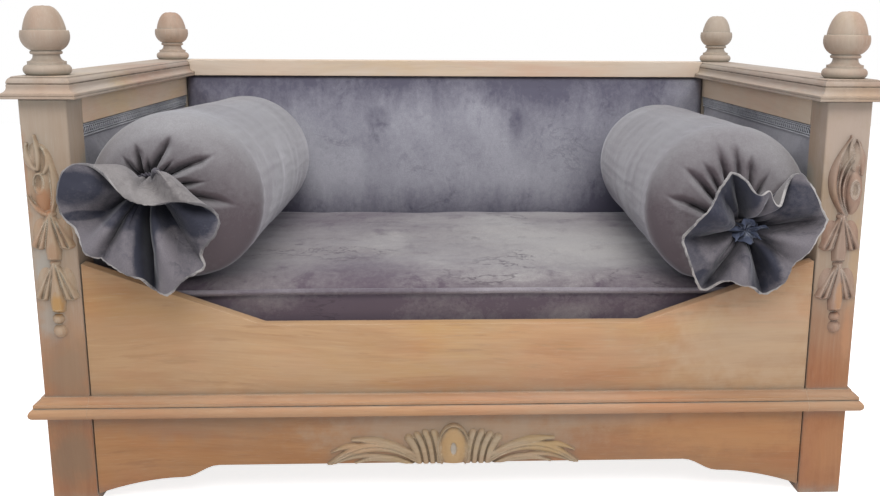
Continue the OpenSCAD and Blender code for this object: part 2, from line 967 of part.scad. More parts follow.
// Shell of flutes between an oval and two sprays of leaves, cut off level with the apron's edge.
// Each flute has its root's place, its tilt and its length, as shares of the half width,
// of a right angle and of the height.
flute_shares = [[0.1, 0.07, 1.02], [0.165, 0.09, 0.98], [0.235, 0.11, 0.92], [0.305, 0.13, 0.86]];
// Each spray leaf has its root's place, its lean from level, its length and its width, as
// shares of the half width, of a right angle, of the half width and of the height.
spray_shares = [[0.33, 0.16, 0.54, 0.24], [0.32, 0.08, 0.68, 0.36], [0.34, 0.01, 0.46, 0.26]];

module apron_carving() {
    half = apron_carving_w / 2;
    high = apron_carving_h;
    color(timber) on_front(0, board_front_y, apron_rise) intersection() {
        union() {
            translate([0, high / 2]) boss(high, high * 0.66, relief, eyed_shares);
            for (side = [0, 1]) mirror([side, 0, 0]) {
                for (s = flute_shares)
                    translate([half * s[0], 0]) rotate(-90 * s[1])
                        leaf(high * s[2], high * 0.24, relief * 0.8, high * 0.08, 0.7);
                for (s = spray_shares)
                    translate([half * s[0], high * 0.06]) rotate(90 * s[1] - 90)
                        leaf(half * s[2], high * s[3], relief * 0.7, high * 0.24, 0.6);
            }
        }
        translate([-half, 0, 0]) cube([2 * half, 2 * high, 2 * relief]);
    }
}

// Seat cushion: boxed, drawn in at its seams and between its corners, and crowned

seam_inset = 2 * piping_r + rest_gap;
// Crown height at shares of the way from the upper seam to the middle
seat_crown_shares = [[0.02, 0.4], [0.05, 0.7], [0.1, 0.9], [0.18, 1]];
// Swell of the boxing at shares of its height
boxing_shares = [[0.08, 0.72], [0.25, 0.95], [0.5, 1], [0.75, 0.95], [0.92, 0.72]];

function seat_ring(inset, z) =
    pillow_ring(seat_half_w - inset, seat_half_d - inset, seat_corner_r, seat_draw, z);

function seat_crown_ring(share, z) =
    let (
        inset = seam_inset + (seat_half_d - seam_inset) * share,
        r = seat_corner_r * (1 - share)
    )
    pillow_ring(seat_half_w - inset, seat_half_d - inset, r, seat_draw * (1 - share), z);

module seat_cushion() {
    low_seam = seat_z + seat_crown;
    high_seam = seat_top - seat_crown;
    boxing = high_seam - low_seam;
    color(velvet) translate([0, seat_mid_y, 0]) loft(concat(
        [seat_crown_ring(seat_crown_shares[1][0], seat_z), seat_ring(seam_inset, low_seam)],
        [for (s = boxing_shares) seat_ring(seam_inset * (1 - s[1]), low_seam + boxing * s[0])],
        [seat_ring(seam_inset, high_seam)],
        [for (s = seat_crown_shares) seat_crown_ring(s[0], high_seam + seat_crown * s[1])]
    ));
}

// A closed cord round the cushion at one height
module seam_cord(z) {
    sides = 6;
    path = seat_ring(piping_r, z);
    count = len(path);
    points = [
        for (i = [0:count - 1], k = [0:sides - 1])
            let (
                ahead = path[(i + 1) % count] - path[(i + count - 1) % count],
                out = [ahead[1], -ahead[0], 0] / norm(ahead)
            )
            path[i] + piping_r * (cos(360 * k / sides) * out + sin(360 * k / sides) * [0, 0, 1])
    ];
    function at(i, k) = (i % count) * sides + k % sides;
    faces = [
        for (i = [0:count - 1], k = [0:sides - 1], half = [0, 1])
            half == 0
                ? [at(i, k), at(i, k + 1), at(i + 1, k + 1)]
                : [at(i, k), at(i + 1, k + 1), at(i + 1, k)]
    ];
    polyhedron(points = points, faces = faces, convexity = 6);
}

module seat_piping() {
    color(dark_velvet) translate([0, seat_mid_y, 0])
        for (z = [seat_z + seat_crown, seat_top - seat_crown]) seam_cord(z);
}

// Bolsters: a sausage gathered into its ties, with a ruffle of loose cloth in front

bolster_n = 40;
gather_folds = 10;
// Way along an end, radius and depth of the gathers, as shares of the bolster's radius
bolster_end_shares = [
    [0, 0, 0.12], [0.02, 0.22, 0.2], [0.07, 0.42, 0.11], [0.17, 0.62, 0.06],
    [0.34, 0.8, 0.025], [0.58, 0.93, 0.008], [0.95, 1, 0]
];

function round_ring(r, gather, z) = [
    for (i = [0:bolster_n - 1])
        let (turn = 360 * i / bolster_n, radius = r * (1 + gather * (cos(gather_folds * turn) - 1) / 2))
        [radius * cos(turn), radius * sin(turn), z]
];

// A ring at a tied end, whose throat lies off the axis by shift
function end_ring(share, z, shift) = [
    for (p = round_ring(throat_r + (bolster_r - throat_r) * share[1], share[2], z))
        p + (1 - share[1]) * [shift[0], shift[1], 0]
];

left_throat = [left_throat_out, left_throat_up];
right_throat = [right_throat_out, -right_throat_down];

module bolster(throat) {
    last = len(bolster_end_shares) - 1;
    color(velvet)
        translate([bolster_x, tie_y + bolster_l, bolster_z]) rotate([90, 0, 0]) loft(concat(
            [for (s = bolster_end_shares) end_ring(s, bolster_r * s[0], [0, 0])],
            [for (k = [0:last])
                let (s = bolster_end_shares[last - k])
                end_ring(s, bolster_l - bolster_r * s[0], throat)]
        ));
}

module tie(throat) {
    color(dark_velvet)
        translate([bolster_x + throat[0], tie_y - tie_r - rest_gap, bolster_z + throat[1]])
        rotate([90, 0, 0])
        rotate_extrude() translate([throat_r + tie_r + rest_gap, 0]) circle(tie_r);
}

ruffle_n = 48;
// Rim radius of each ruffle every 30 degrees from the right, as shares of the widest lobe
left_rim_shares = [0.86, 0.62, 0.4, 0.38, 0.7, 1, 0.76, 0.52, 0.52, 0.7, 0.8, 0.84];
right_rim_shares = [1, 0.92, 0.5, 0.64, 0.66, 0.5, 0.76, 0.84, 0.9, 0.69, 0.84, 0.66];
// Middle of each rim, right and up from the throat, as shares of the widest lobe
left_mouth_shares = [-0.34, -0.3];
right_mouth_shares = [0.02, -0.08];
// Way forward and way out of the cloth between throat and rim
ruffle_flare_shares = [[0, 0], [0.14, 0.02], [0.36, 0.24], [0.6, 0.52], [0.82, 0.8], [1, 1]];

function rim_share(shares, turn) =
    let (
        count = len(shares),
        place = turn * count / 360,
        k = floor(place),
        f = (1 - cos(180 * (place - k))) / 2
    )
    shares[k % count] * (1 - f) + shares[(k + 1) % count] * f;

// The straight neck that the tie goes round
ruffle_neck = 2 * (tie_r + rest_gap);
neck_ring = [
    for (i = [0:ruffle_n - 1]) throat_r * [cos(360 * i / ruffle_n), sin(360 * i / ruffle_n), 0]
];

// One ring of the ruffle; inside is 0 on its outer face and 1 on its inner face
function ruffle_ring(shares, mouth, way, inside) = [
    for (i = [0:ruffle_n - 1])
        let (
            turn = 360 * i / ruffle_n,
            lobe = rim_share(shares, turn),
            outer = throat_r + (ruffle_r * lobe - throat_r) * way[1],
            radius = outer - inside * ruffle_t * (1 - 0.8 * way[1]),
            curl = 1 - 0.2 * way[0] * (1 - lobe),
            forward = ruffle_neck + (ruffle_l - ruffle_neck) * way[0] * curl,
            back = (1 - inside) * ruffle_t * way[1]
        )
        [
            radius * cos(turn) + mouth[0] * ruffle_r * way[1],
            radius * sin(turn) + mouth[1] * ruffle_r * way[1],
            forward - back
        ]
];

module ruffle(x, z, shares, mouth) {
    last = len(ruffle_flare_shares) - 1;
    color(velvet) translate([x, tie_y, z]) rotate([90, 0, 0]) loft(concat(
        [neck_ring],
        [for (way = ruffle_flare_shares) ruffle_ring(shares, mouth, way, 0)],
        [for (k = [0:last - 1]) ruffle_ring(shares, mouth, ruffle_flare_shares[last - k], 1)]
    ));
}

module left_bolster() {
    on_left() bolster(left_throat);
}

module left_tie() {
    on_left() tie(left_throat);
}

module left_ruffle() {
    ruffle(-bolster_x - left_throat_out, bolster_z + left_throat_up,
           left_rim_shares, left_mouth_shares);
}

module right_bolster() {
    bolster(right_throat);
}

module right_tie() {
    tie(right_throat);
}

module right_ruffle() {
    ruffle(bolster_x + right_throat_out, bolster_z - right_throat_down,
           right_rim_shares, right_mouth_shares);
}

post(-post_x, front_post_y);  // front_left_post
post(post_x, front_post_y);  // front_right_post
post(-post_x, back_post_y);  // back_left_post
post(post_x, back_post_y);  // back_right_post
left_arm_cap();
right_arm_cap();
back_top_rail();
finial(-post_x, front_post_y);  // front_left_finial
finial(post_x, front_post_y);  // front_right_finial
finial(-post_x, back_post_y);  // back_left_finial
finial(post_x, back_post_y);  // back_right_finial
finial_dowels();
rail_dowels();
front_board();
front_apron();
back_apron();
left_side_rail();
right_side_rail();
left_side_apron();
right_side_apron();
front_moulding();
left_post_moulding();
right_post_moulding();
left_side_moulding();
right_side_moulding();
left_arm_rail();
right_arm_rail();
back_upper_rail();
back_lower_rail();
left_arm_backing();
right_arm_backing();
back_backing();
left_outer_panel();
right_outer_panel();
back_outer_panel();
left_arm_pad();
right_arm_pad();
back_pad();
left_gimp();
right_gimp();
seat_cleats();
seat_slats();
slat_screws();
corner_blocks();
left_post_carving();
right_post_carving();
apron_carving();
seat_cushion();
seat_piping();
left_bolster();
left_tie();
left_ruffle();
right_bolster();
right_tie();
right_ruffle();
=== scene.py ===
import math
from contextlib import contextmanager

import bpy
import numpy as np
from mathutils import Matrix, Vector, noise


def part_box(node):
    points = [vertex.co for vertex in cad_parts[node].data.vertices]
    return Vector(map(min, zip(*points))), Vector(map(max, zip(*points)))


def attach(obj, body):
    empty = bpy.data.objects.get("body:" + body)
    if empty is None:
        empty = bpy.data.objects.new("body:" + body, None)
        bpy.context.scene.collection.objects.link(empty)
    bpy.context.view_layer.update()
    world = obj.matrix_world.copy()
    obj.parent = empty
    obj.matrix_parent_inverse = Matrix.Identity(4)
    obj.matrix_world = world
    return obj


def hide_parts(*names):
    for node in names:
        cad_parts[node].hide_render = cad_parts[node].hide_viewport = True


# The looks of a sofa bed for a dog: limed timber with carved mounts, turned finials, velvet
# upholstery, a loose cushion and two tied bolsters. Metres; the front faces -Y.

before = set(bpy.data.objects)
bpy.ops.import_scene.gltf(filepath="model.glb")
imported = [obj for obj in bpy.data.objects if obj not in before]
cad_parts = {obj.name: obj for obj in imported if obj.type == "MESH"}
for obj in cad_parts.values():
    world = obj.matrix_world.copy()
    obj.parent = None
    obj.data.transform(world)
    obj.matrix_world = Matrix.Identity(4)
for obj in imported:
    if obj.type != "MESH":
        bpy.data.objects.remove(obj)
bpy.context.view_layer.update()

MM = 0.001
WELD = 1e-5
WHITE = (1, 1, 1, 1)
ENDS = ("front_left", "front_right", "back_left", "back_right")
scene = bpy.context.scene


# Camera, light and floor

CAMERA_PLACE = Vector((-20.75, -1440.29, 563.20)) * MM


def place_camera():
    down, aside, tilt = math.radians(12.47), math.radians(-2.71), math.radians(0.37)
    ahead = Vector((-math.sin(aside) * math.cos(down), math.cos(aside) * math.cos(down), -math.sin(down)))
    level = Vector((math.cos(aside), math.sin(aside), 0))
    upright = level.cross(ahead)
    right = math.cos(tilt) * level + math.sin(tilt) * upright
    up = math.cos(tilt) * upright - math.sin(tilt) * level
    bpy.ops.object.camera_add()
    camera = bpy.context.object
    camera.name = "camera"
    turn = Matrix((right, up, -ahead)).transposed().to_4x4()
    camera.matrix_world = Matrix.Translation(CAMERA_PLACE) @ turn
    camera.data.sensor_width = 36
    camera.data.lens = 41.57
    camera.data.shift_x = -0.0484
    camera.data.shift_y = 0.0039
    camera.data.clip_start = 0.05
    scene.camera = camera


# Name, place, aim, size, power and colour of each lamp
LAMPS = (
    ("window", (0.35, -2.3, 2.4), (0, 0, 0.25), (2.0, 1.5), 34, (1, 0.98, 0.95)),
    ("ceiling", (0.0, -0.5, 2.7), (0, 0.1, 0.2), (1.8, 1.4), 32, (0.98, 0.99, 1)),
    ("far_wall", (-2.0, -1.6, 1.5), (0, 0, 0.3), (1.4, 1.4), 8, (0.94, 0.96, 1)),
    ("near_wall", (2.2, -1.4, 1.4), (0, 0, 0.3), (1.4, 1.4), 11, (0.98, 0.98, 1)),
)


def area_light(name, place, aim, size, power, colour):
    bpy.ops.object.light_add(type="AREA", location=place)
    lamp = bpy.context.object
    lamp.name = name
    lamp.data.shape = "RECTANGLE"
    lamp.data.size, lamp.data.size_y = size
    lamp.data.energy = power
    lamp.data.color = colour
    lamp.rotation_euler = (Vector(aim) - Vector(place)).to_track_quat("-Z", "Y").to_euler()


def light_the_room():
    """A white backdrop where it is seen, a dimmer and bluer room where it lights, and four lamps"""
    scene.view_settings.view_transform = "Standard"
    scene.world = bpy.data.worlds.new("studio")
    scene.world.use_nodes = True
    tree = Tree(scene.world.node_tree)
    tree.tree.nodes.clear()
    room = tree.add("ShaderNodeBackground", {"Color": (0.86, 0.9, 1, 1), "Strength": 0.36})
    paper = tree.add("ShaderNodeBackground", {"Color": WHITE, "Strength": 1.0})
    both = tree.add("ShaderNodeMixShader", {0: tree.seen_ray(), 1: room.outputs[0], 2: paper.outputs[0]})
    tree.add("ShaderNodeOutputWorld", {"Surface": both.outputs[0]})
    for lamp in LAMPS:
        area_light(*lamp)


def lay_floor():
    bpy.ops.mesh.primitive_plane_add(size=9)
    floor = bpy.context.object
    floor.name = "floor"
    material, tree = new_material("floor_paper")
    seen = tree.seen_ray()
    tree.shade({
        "Base Color": tree.mix(seen, (0.80, 0.79, 0.78, 1), WHITE), "Roughness": 1.0,
        "Specular IOR Level": 0.0, "Emission Color": WHITE, "Emission Strength": tree.times(seen, 0.8)})
    floor.data.materials.append(material)


# Shader trees


class Tree:
    """A node tree that nodes are added to, each with its inputs given as values or sockets"""

    def __init__(self, tree):
        self.tree = tree

    def add(self, kind, inputs=None, **settings):
        made = self.tree.nodes.new(kind)
        for name, value in settings.items():
            setattr(made, name, value)
        for name, value in (inputs or {}).items():
            self.put(made.inputs[name], value)
        return made

    def put(self, socket, value):
        if isinstance(value, bpy.types.NodeSocket):
            self.tree.links.new(value, socket)
        else:
            socket.default_value = value

    def shade(self, values):
        shader = next(n for n in self.tree.nodes if n.type == "BSDF_PRINCIPLED")
        for name, value in values.items():
            self.put(shader.inputs[name], value)

    def use(self, name, inputs):
        return self.add("ShaderNodeGroup", inputs, node_tree=bpy.data.node_groups[name]).outputs

    def math(self, operation, a, b=0.0, c=0.0, clamp=False):
        return self.add("ShaderNodeMath", {0: a, 1: b, 2: c}, operation=operation, use_clamp=clamp).outputs[0]

    def times(self, a, b, clamp=False):
        return self.math("MULTIPLY", a, b, clamp=clamp)

    def centred(self, value):
        return self.math("SUBTRACT", value, 0.5)

    def ramp(self, value, low, high, to_low=0.0, to_high=1.0):
        spread = {"Value": value, "From Min": low, "From Max": high, "To Min": to_low, "To Max": to_high}
        return self.add("ShaderNodeMapRange", spread, interpolation_type="SMOOTHSTEP").outputs["Result"]

    def mix(self, share, a, b, blend="MIX"):
        made = self.add("ShaderNodeMix", data_type="RGBA", blend_type=blend)
        for index, value in ((0, share), (6, a), (7, b)):
            self.put(made.inputs[index], value)
        return made.outputs[2]

    def vector(self, operation, a, b=(0, 0, 0)):
        made = self.add("ShaderNodeVectorMath", {0: a, 1: b}, operation=operation)
        return made.outputs["Value" if operation in ("LENGTH", "DOT_PRODUCT") else "Vector"]

    def scaled(self, vector, by):
        return self.vector("MULTIPLY", vector, by)

    def place(self):
        return self.add("ShaderNodeTexCoord").outputs["Object"]

    def upright(self, vector):
        return self.add("ShaderNodeSeparateXYZ", {0: vector}).outputs["Z"]

    def oval(self, place, centre, semi):
        """Distance from a centre, which is 1 on the oval with these half sizes"""
        off = self.vector("SUBTRACT", place, centre)
        return self.vector("LENGTH", self.vector("DIVIDE", off, semi))

    def noise(self, vector, scale, detail=2.0, roughness=0.5, distortion=0.0, output=0):
        made = {"Vector": vector, "Scale": scale, "Detail": detail, "Roughness": roughness,
                "Distortion": distortion}
        return self.add("ShaderNodeTexNoise", made).outputs[output]

    def blotches(self, vector, along, grain, low, high):
        """Noise drawn out along X, where low becomes 0 and high 1. grain is the noise's scale,
        detail, roughness and distortion"""
        return self.ramp(self.noise(self.scaled(vector, (along, 1.0, 1.0)), *grain), low, high)

    def seen_ray(self):
        """1 for what is seen straight or in a gloss, and 0 for light that is gathered"""
        ray = self.add("ShaderNodeLightPath")
        return self.math("MAXIMUM", ray.outputs["Is Camera Ray"], ray.outputs["Is Glossy Ray"])


def group(name, takes, gives):
    """An empty node group from its sockets' names and kinds: its tree, its inputs and its outputs"""
    made = bpy.data.node_groups.new(name, "ShaderNodeTree")
    for way, sockets in (("INPUT", takes), ("OUTPUT", gives)):
        for socket, kind in sockets.items():
            made.interface.new_socket(socket, in_out=way, socket_type="NodeSocket" + kind)
    tree = Tree(made)
    return tree, tree.add("NodeGroupInput").outputs, tree.add("NodeGroupOutput").inputs


SURFACE = {"Color": "Color", "Roughness": "Float", "Height": "Float"}


def make_grain_group():
    tree, into, out = group(
        "limed_grain",
        {"Vector": "Vector", "Ground": "Color", "Streak": "Color", "Lime": "Color", "Liming": "Float",
         "Figure": "Float", "Mottle": "Float"}, SURFACE)
    vector = into["Vector"]
    sway = tree.noise(tree.scaled(vector, (1.2, 3.0, 3.0)), 2.2, 1.0, output="Color")
    swayed = tree.vector("ADD", vector, tree.scaled(sway, (0.05, 0.05, 0.05)))
    board = tree.blotches(swayed, 0.075, (9.0, 3.0, 0.55), 0.4, 0.62)
    figure = tree.blotches(swayed, 0.075, (46.0, 4.0, 0.62, 0.4), 0.42, 0.64)
    fine = tree.noise(tree.scaled(swayed, (0.02, 1.0, 1.0)), 420.0, 3.0, 0.7)
    pores = tree.blotches(swayed, 0.035, (900.0, 2.0, 0.6), 0.56, 0.7)
    cloud = tree.blotches(vector, 0.5, (9.0, 4.0, 0.6), 0.34, 0.7)
    warm = tree.blotches(vector, 0.35, (8.0, 4.0, 0.68, 0.4), 0.44, 0.66)
    tawny = tree.blotches(swayed, 0.3, (12.0, 4.0, 0.65, 0.3), 0.5, 0.7)
    dashes = tree.blotches(swayed, 0.09, (120.0, 4.0, 0.62), 0.57, 0.7)
    streaks = tree.math("MULTIPLY_ADD", figure, 0.75, tree.times(board, 0.6))
    wood = tree.mix(tree.times(streaks, into["Figure"], clamp=True), into["Ground"], into["Streak"])
    wood = tree.mix(tree.ramp(fine, 0.3, 0.7, 0.0, 0.3), wood, into["Streak"])
    wood = tree.mix(tree.times(warm, into["Mottle"]), wood, (1.0, 0.78, 0.70, 1), "MULTIPLY")
    wood = tree.mix(tree.times(tawny, into["Mottle"]), wood, (1.0, 0.94, 0.66, 1), "MULTIPLY")
    wood = tree.mix(tree.times(dashes, into["Mottle"]), wood, into["Streak"])
    limed = tree.times(tree.math("MULTIPLY_ADD", cloud, 0.75, 0.25), into["Liming"], clamp=True)
    wood = tree.mix(limed, wood, into["Lime"])
    filled = tree.times(pores, tree.times(into["Liming"], 0.7), clamp=True)
    tree.put(out["Color"], tree.mix(filled, wood, into["Lime"]))
    tree.put(out["Roughness"], tree.ramp(fine, 0.2, 0.8, 0.5, 0.68))
    tree.put(out["Height"], tree.math("MULTIPLY_ADD", fine, 0.6, tree.times(figure, 0.4)))


def make_recess_group():
    # An occlusion mask: the timbers take their lime wash from it, and the velvets and carved mounts their
    # painted shade
    tree, into, out = group("lime_and_painted_shade_in_recesses", {"Reach": "Float", "Amount": "Float"}, {"Mask": "Float"})
    hollow_shade = tree.add("ShaderNodeAmbientOcclusion", {"Distance": into["Reach"]}, samples=6)
    closed = tree.ramp(hollow_shade.outputs["AO"], 0.95, 0.45)
    rubbed = tree.ramp(tree.noise(tree.place(), 45.0, 4.0, 0.6), 0.3, 0.62, 0.45, 1.0)
    tree.put(out["Mask"], tree.times(tree.times(closed, rubbed), into["Amount"], clamp=True))


def make_edge_wear_and_highlight_group():
    # A mask of the edges: rubbed wear on the timbers, and on the carved mounts also a painted highlight
    tree, into, out = group(
        "rubbed_and_highlit_edges", {"Reach": "Float", "Amount": "Float"}, {"Mask": "Float", "Normal": "Vector"})
    soft = tree.add("ShaderNodeBevel", {"Radius": into["Reach"]}, samples=4).outputs["Normal"]
    flat = tree.add("ShaderNodeNewGeometry").outputs["Normal"]
    edge = tree.ramp(tree.vector("DOT_PRODUCT", soft, flat), 0.995, 0.86)
    patchy = tree.ramp(tree.noise(tree.place(), 60.0, 4.0, 0.6), 0.36, 0.6, 0.25, 1.0)
    tree.put(out["Mask"], tree.times(tree.times(edge, patchy), into["Amount"], clamp=True))
    tree.put(out["Normal"], soft)


def make_pile_group():
    tree, into, out = group(
        "crushed_pile",
        {"Vector": "Vector", "Deep": "Color", "Pale": "Color", "Brushed": "Float", "Scuffs": "Float",
         "Lay": "Float", "Crinkle": "Float"}, SURFACE)
    vector = into["Vector"]
    broad = tree.ramp(tree.noise(vector, 4.2, 3.0, 0.5, 0.3), 0.3, 0.7)
    marks = tree.ramp(tree.noise(vector, 26.0, 5.0, 0.7, 0.5), 0.52, 0.74)
    grit = tree.noise(vector, 110.0, 5.0, 0.8)
    nap = tree.noise(vector, 900.0, 2.0, 0.6)
    turned = tree.math("SUBTRACT", broad, tree.times(marks, into["Scuffs"]))
    turned = tree.math("MULTIPLY_ADD", tree.centred(grit), 0.9, turned)
    share = tree.math("MULTIPLY_ADD", tree.centred(turned), into["Brushed"], into["Lay"], clamp=True)
    cloth = tree.mix(share, into["Deep"], into["Pale"])
    # Crinkles are dented into the bump, and their lines are darkened as painted shade in the creases
    creased = tree.noise(tree.scaled(vector, (0.45, 1.0, 1.0)), 17.0, 5.0, 0.62, 0.3)
    line = tree.ramp(tree.math("ABSOLUTE", tree.centred(creased)), 0.02, 0.0)
    where = tree.ramp(tree.noise(vector, 9.0), 0.5, 0.62)
    marked = tree.times(tree.times(line, where), into["Crinkle"], clamp=True)
    cloth = tree.mix(marked, cloth, tree.mix(0.55, (0, 0, 0, 1), into["Deep"]))
    cloth = tree.mix(tree.ramp(nap, 0.25, 0.75, 0.0, 0.3), cloth, into["Deep"])
    tree.put(out["Color"], cloth)
    tree.put(out["Roughness"], tree.ramp(turned, 0.0, 1.0, 0.85, 0.62))
    fuzz = tree.math("MULTIPLY_ADD", nap, 0.5, tree.times(grit, 0.5))
    tree.put(out["Height"], tree.math("SUBTRACT", fuzz, tree.times(marked, 1.6)))


def new_material(name):
    material = bpy.data.materials.new(name)
    material.use_nodes = True
    return material, Tree(material.node_tree)


TURNED = {"X": (0, 0, 0), "Y": (0, 0, math.radians(90)), "Z": (0, math.radians(90), 0)}


def timber(name, grain, ground, streak, lime=(0.56, 0.52, 0.46), liming=0.35, figure=0.7, lime_wash_and_shade=0.5,
           reach=0.02, edge_wear_and_highlight=0.5, foot=None, tints=(), mottle=0.55, recess_colour=(0.36, 0.37, 0.32),
           arris=0.0016, arris_colour=(0.66, 0.52, 0.38), zoom=1.0):
    """Limed timber with its grain along one axis. The recess amount and reach colour its recesses with
    recess_colour: a grey lime wash, and painted shade where that colour is dark, as on the carved
    mounts. The edge amount and arris pale its edges with arris_colour: rubbed wear, and on the carved
    mounts also a painted highlight. foot darkens and warms it below a height. Each tint has a centre,
    half sizes, a colour, its strength and its softness, from 0 to 1"""
    material, tree = new_material(name)
    place = tree.place()
    along = tree.add("ShaderNodeMapping", {"Vector": place, "Rotation": TURNED[grain],
                                           "Scale": (zoom, zoom, zoom)}).outputs[0]
    ground, streak = (*ground, 1), (*streak, 1)
    if foot:
        start, end, foot_ground, foot_streak = foot
        uneven = tree.math("MULTIPLY_ADD", tree.noise(place, 14.0, 3.0), 0.09, tree.upright(place))
        low = tree.ramp(uneven, start, end, 1.0, 0.0)
        ground = tree.mix(low, ground, (*foot_ground, 1))
        streak = tree.mix(low, streak, (*foot_streak, 1))
        liming = tree.ramp(low, 0, 1, liming, liming * 0.15)
    grained = tree.use("limed_grain", {
        "Vector": along, "Ground": ground, "Streak": streak, "Lime": (*lime, 1), "Liming": liming,
        "Figure": figure, "Mottle": mottle})
    colour = grained["Color"]
    # Recesses take recess_colour: lime wash, and painted shade where that colour is dark
    if lime_wash_and_shade:
        recess = tree.use("lime_and_painted_shade_in_recesses", {"Reach": reach, "Amount": lime_wash_and_shade})
        colour = tree.mix(recess["Mask"], colour, (*recess_colour, 1))
    for centre, semi, tint, strength, softness in tints:
        ragged = tree.centred(tree.noise(place, 260.0 - 210.0 * softness, 4.0, 0.6))
        far = tree.math("MULTIPLY_ADD", ragged, 0.35 + 1.2 * softness, tree.oval(place, centre, semi))
        inside = tree.ramp(far, 1.1 + 0.3 * softness, 0.85 - 0.55 * softness, 0.0, strength)
        colour = tree.mix(inside, colour, (*tint, 1))
    # Edges take arris_colour: rubbed wear, and a painted highlight where it is pale on the carvings
    edges = tree.use("rubbed_and_highlit_edges", {"Reach": arris, "Amount": edge_wear_and_highlight})
    bump = tree.add("ShaderNodeBump", {
        "Height": grained["Height"], "Normal": edges["Normal"], "Strength": 0.25, "Distance": 0.0006})
    tree.shade({
        "Base Color": tree.mix(edges["Mask"], colour, (*arris_colour, 1)),
        "Roughness": grained["Roughness"], "Normal": bump.outputs["Normal"], "Specular IOR Level": 0.35})
    return material


def velvet(name, deep, pale, brushed=0.9, scuffs=0.5, stretch=(1, 1, 1), spot=(0, 0, 0), relief=0.25,
           sheen=0.55, hollow_shade=0.0, reach=0.05, lay=0.5, top_light=0.0, patches=(), crinkle=0.3, ragged=0.5,
           fade=0.17, brush=(1, 1, 1)):
    """Crushed velvet. The hollow amount is how much painted shade darkens it in a fold, and reach how wide
    such a fold is. The upward amount pales it where it faces up: painted light from above. Each patch
    has a centre, half sizes and how far it moves the tone toward pale, or toward deep where it is
    negative; its edge is ragged, faded and drawn out by brush into strokes"""
    material, tree = new_material(name)
    place = tree.place()
    laid = tree.add("ShaderNodeMapping", {"Vector": place, "Location": spot, "Scale": stretch}).outputs[0]
    for centre, semi, amount in patches:
        edge = tree.centred(tree.noise(tree.scaled(place, brush), 12.0, 6.0, 0.68, 0.6))
        far = tree.math("MULTIPLY_ADD", edge, ragged * 2, tree.oval(place, centre, semi))
        lay = tree.math("MULTIPLY_ADD", tree.ramp(far, 0.95 + fade, 0.95 - fade), amount, lay)
    # Painted light from above: faces turned up are paled
    if top_light:
        up = tree.upright(tree.add("ShaderNodeNewGeometry").outputs["Normal"])
        lay = tree.math("MULTIPLY_ADD", tree.ramp(up, -0.4, 1.0, -0.5, 0.5), top_light, lay)
    pile = tree.use("crushed_pile", {
        "Vector": laid, "Deep": (*deep, 1), "Pale": (*pale, 1), "Brushed": brushed, "Scuffs": scuffs,
        "Lay": lay, "Crinkle": crinkle})
    bump = tree.add("ShaderNodeBump", {"Height": pile["Height"], "Strength": relief, "Distance": 0.0012})
    colour = pile["Color"]
    # Painted shade: folds are darkened toward a deep tone of the velvet
    if hollow_shade:
        recess = tree.use("lime_and_painted_shade_in_recesses", {"Reach": reach, "Amount": hollow_shade})
        colour = tree.mix(recess["Mask"], colour, tuple(c * 0.18 for c in deep) + (1,))
    tree.shade({
        "Base Color": colour, "Roughness": pile["Roughness"], "Normal": bump.outputs["Normal"],
        "Specular IOR Level": 0.15, "Sheen Weight": sheen, "Sheen Roughness": 0.35,
        "Sheen Tint": (0.8, 0.8, 0.84, 1)})
    return material


def zinc():
    material, tree = new_material("zinc_plate")
    spread = tree.noise(tree.place(), 400.0, 3.0)
    tree.shade({"Base Color": tree.mix(spread, (0.5, 0.5, 0.52, 1), (0.66, 0.66, 0.66, 1)),
                "Roughness": tree.ramp(spread, 0.2, 0.8, 0.3, 0.55), "Metallic": 1.0})
    return material


# Meshes


def coordinates(piece):
    flat = np.zeros(len(piece.data.vertices) * 3)
    piece.data.vertices.foreach_get("co", flat)
    return flat.reshape(-1, 3)


def put_coordinates(piece, points):
    piece.data.vertices.foreach_set("co", np.asarray(points, float).ravel())
    piece.data.update()


def make_active(piece):
    bpy.ops.object.select_all(action="DESELECT")
    piece.select_set(True)
    bpy.context.view_layer.objects.active = piece


@contextmanager
def editing(piece):
    """Edit mode on one piece, with all of it selected"""
    make_active(piece)
    bpy.ops.object.mode_set(mode="EDIT")
    bpy.ops.mesh.select_all(action="SELECT")
    yield
    bpy.ops.object.mode_set(mode="OBJECT")


def turn_faces_out(piece):
    with editing(piece):
        bpy.ops.mesh.normals_make_consistent(inside=False)


def apply_modifier(piece, kind, **settings):
    make_active(piece)
    modifier = piece.modifiers.new("finish", kind)
    for name, value in settings.items():
        setattr(modifier, name, value)
    bpy.ops.object.modifier_apply(modifier=modifier.name)


def subdivide(piece):
    apply_modifier(piece, "SUBSURF", levels=1, render_levels=1)


def joined(piece, others):
    """Pieces joined into the first one"""
    make_active(piece)
    for other in others:
        other.select_set(True)
    bpy.ops.object.join()
    turn_faces_out(piece)
    return piece


def merged_copy(node, name):
    """A copy of a CAD node as one welded mesh"""
    piece = bpy.data.objects.new(name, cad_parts[node].data.copy())
    scene.collection.objects.link(piece)
    make_active(piece)
    bpy.ops.mesh.customdata_custom_splitnormals_clear()
    with editing(piece):
        bpy.ops.mesh.remove_doubles(threshold=WELD)
        bpy.ops.mesh.normals_make_consistent(inside=False)
    piece.data.materials.clear()
    return piece


def finish_piece(piece, body, material, node, angle=None):
    """Dresses a piece that stands for a CAD node. Edges sharper than angle, in degrees, stay sharp"""
    piece.data.materials.clear()
    piece.data.materials.append(material)
    piece.data.shade_smooth()
    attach(piece, body)
    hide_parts(node)
    if angle:
        make_active(piece)
        bpy.ops.object.shade_smooth_by_angle(angle=math.radians(angle))


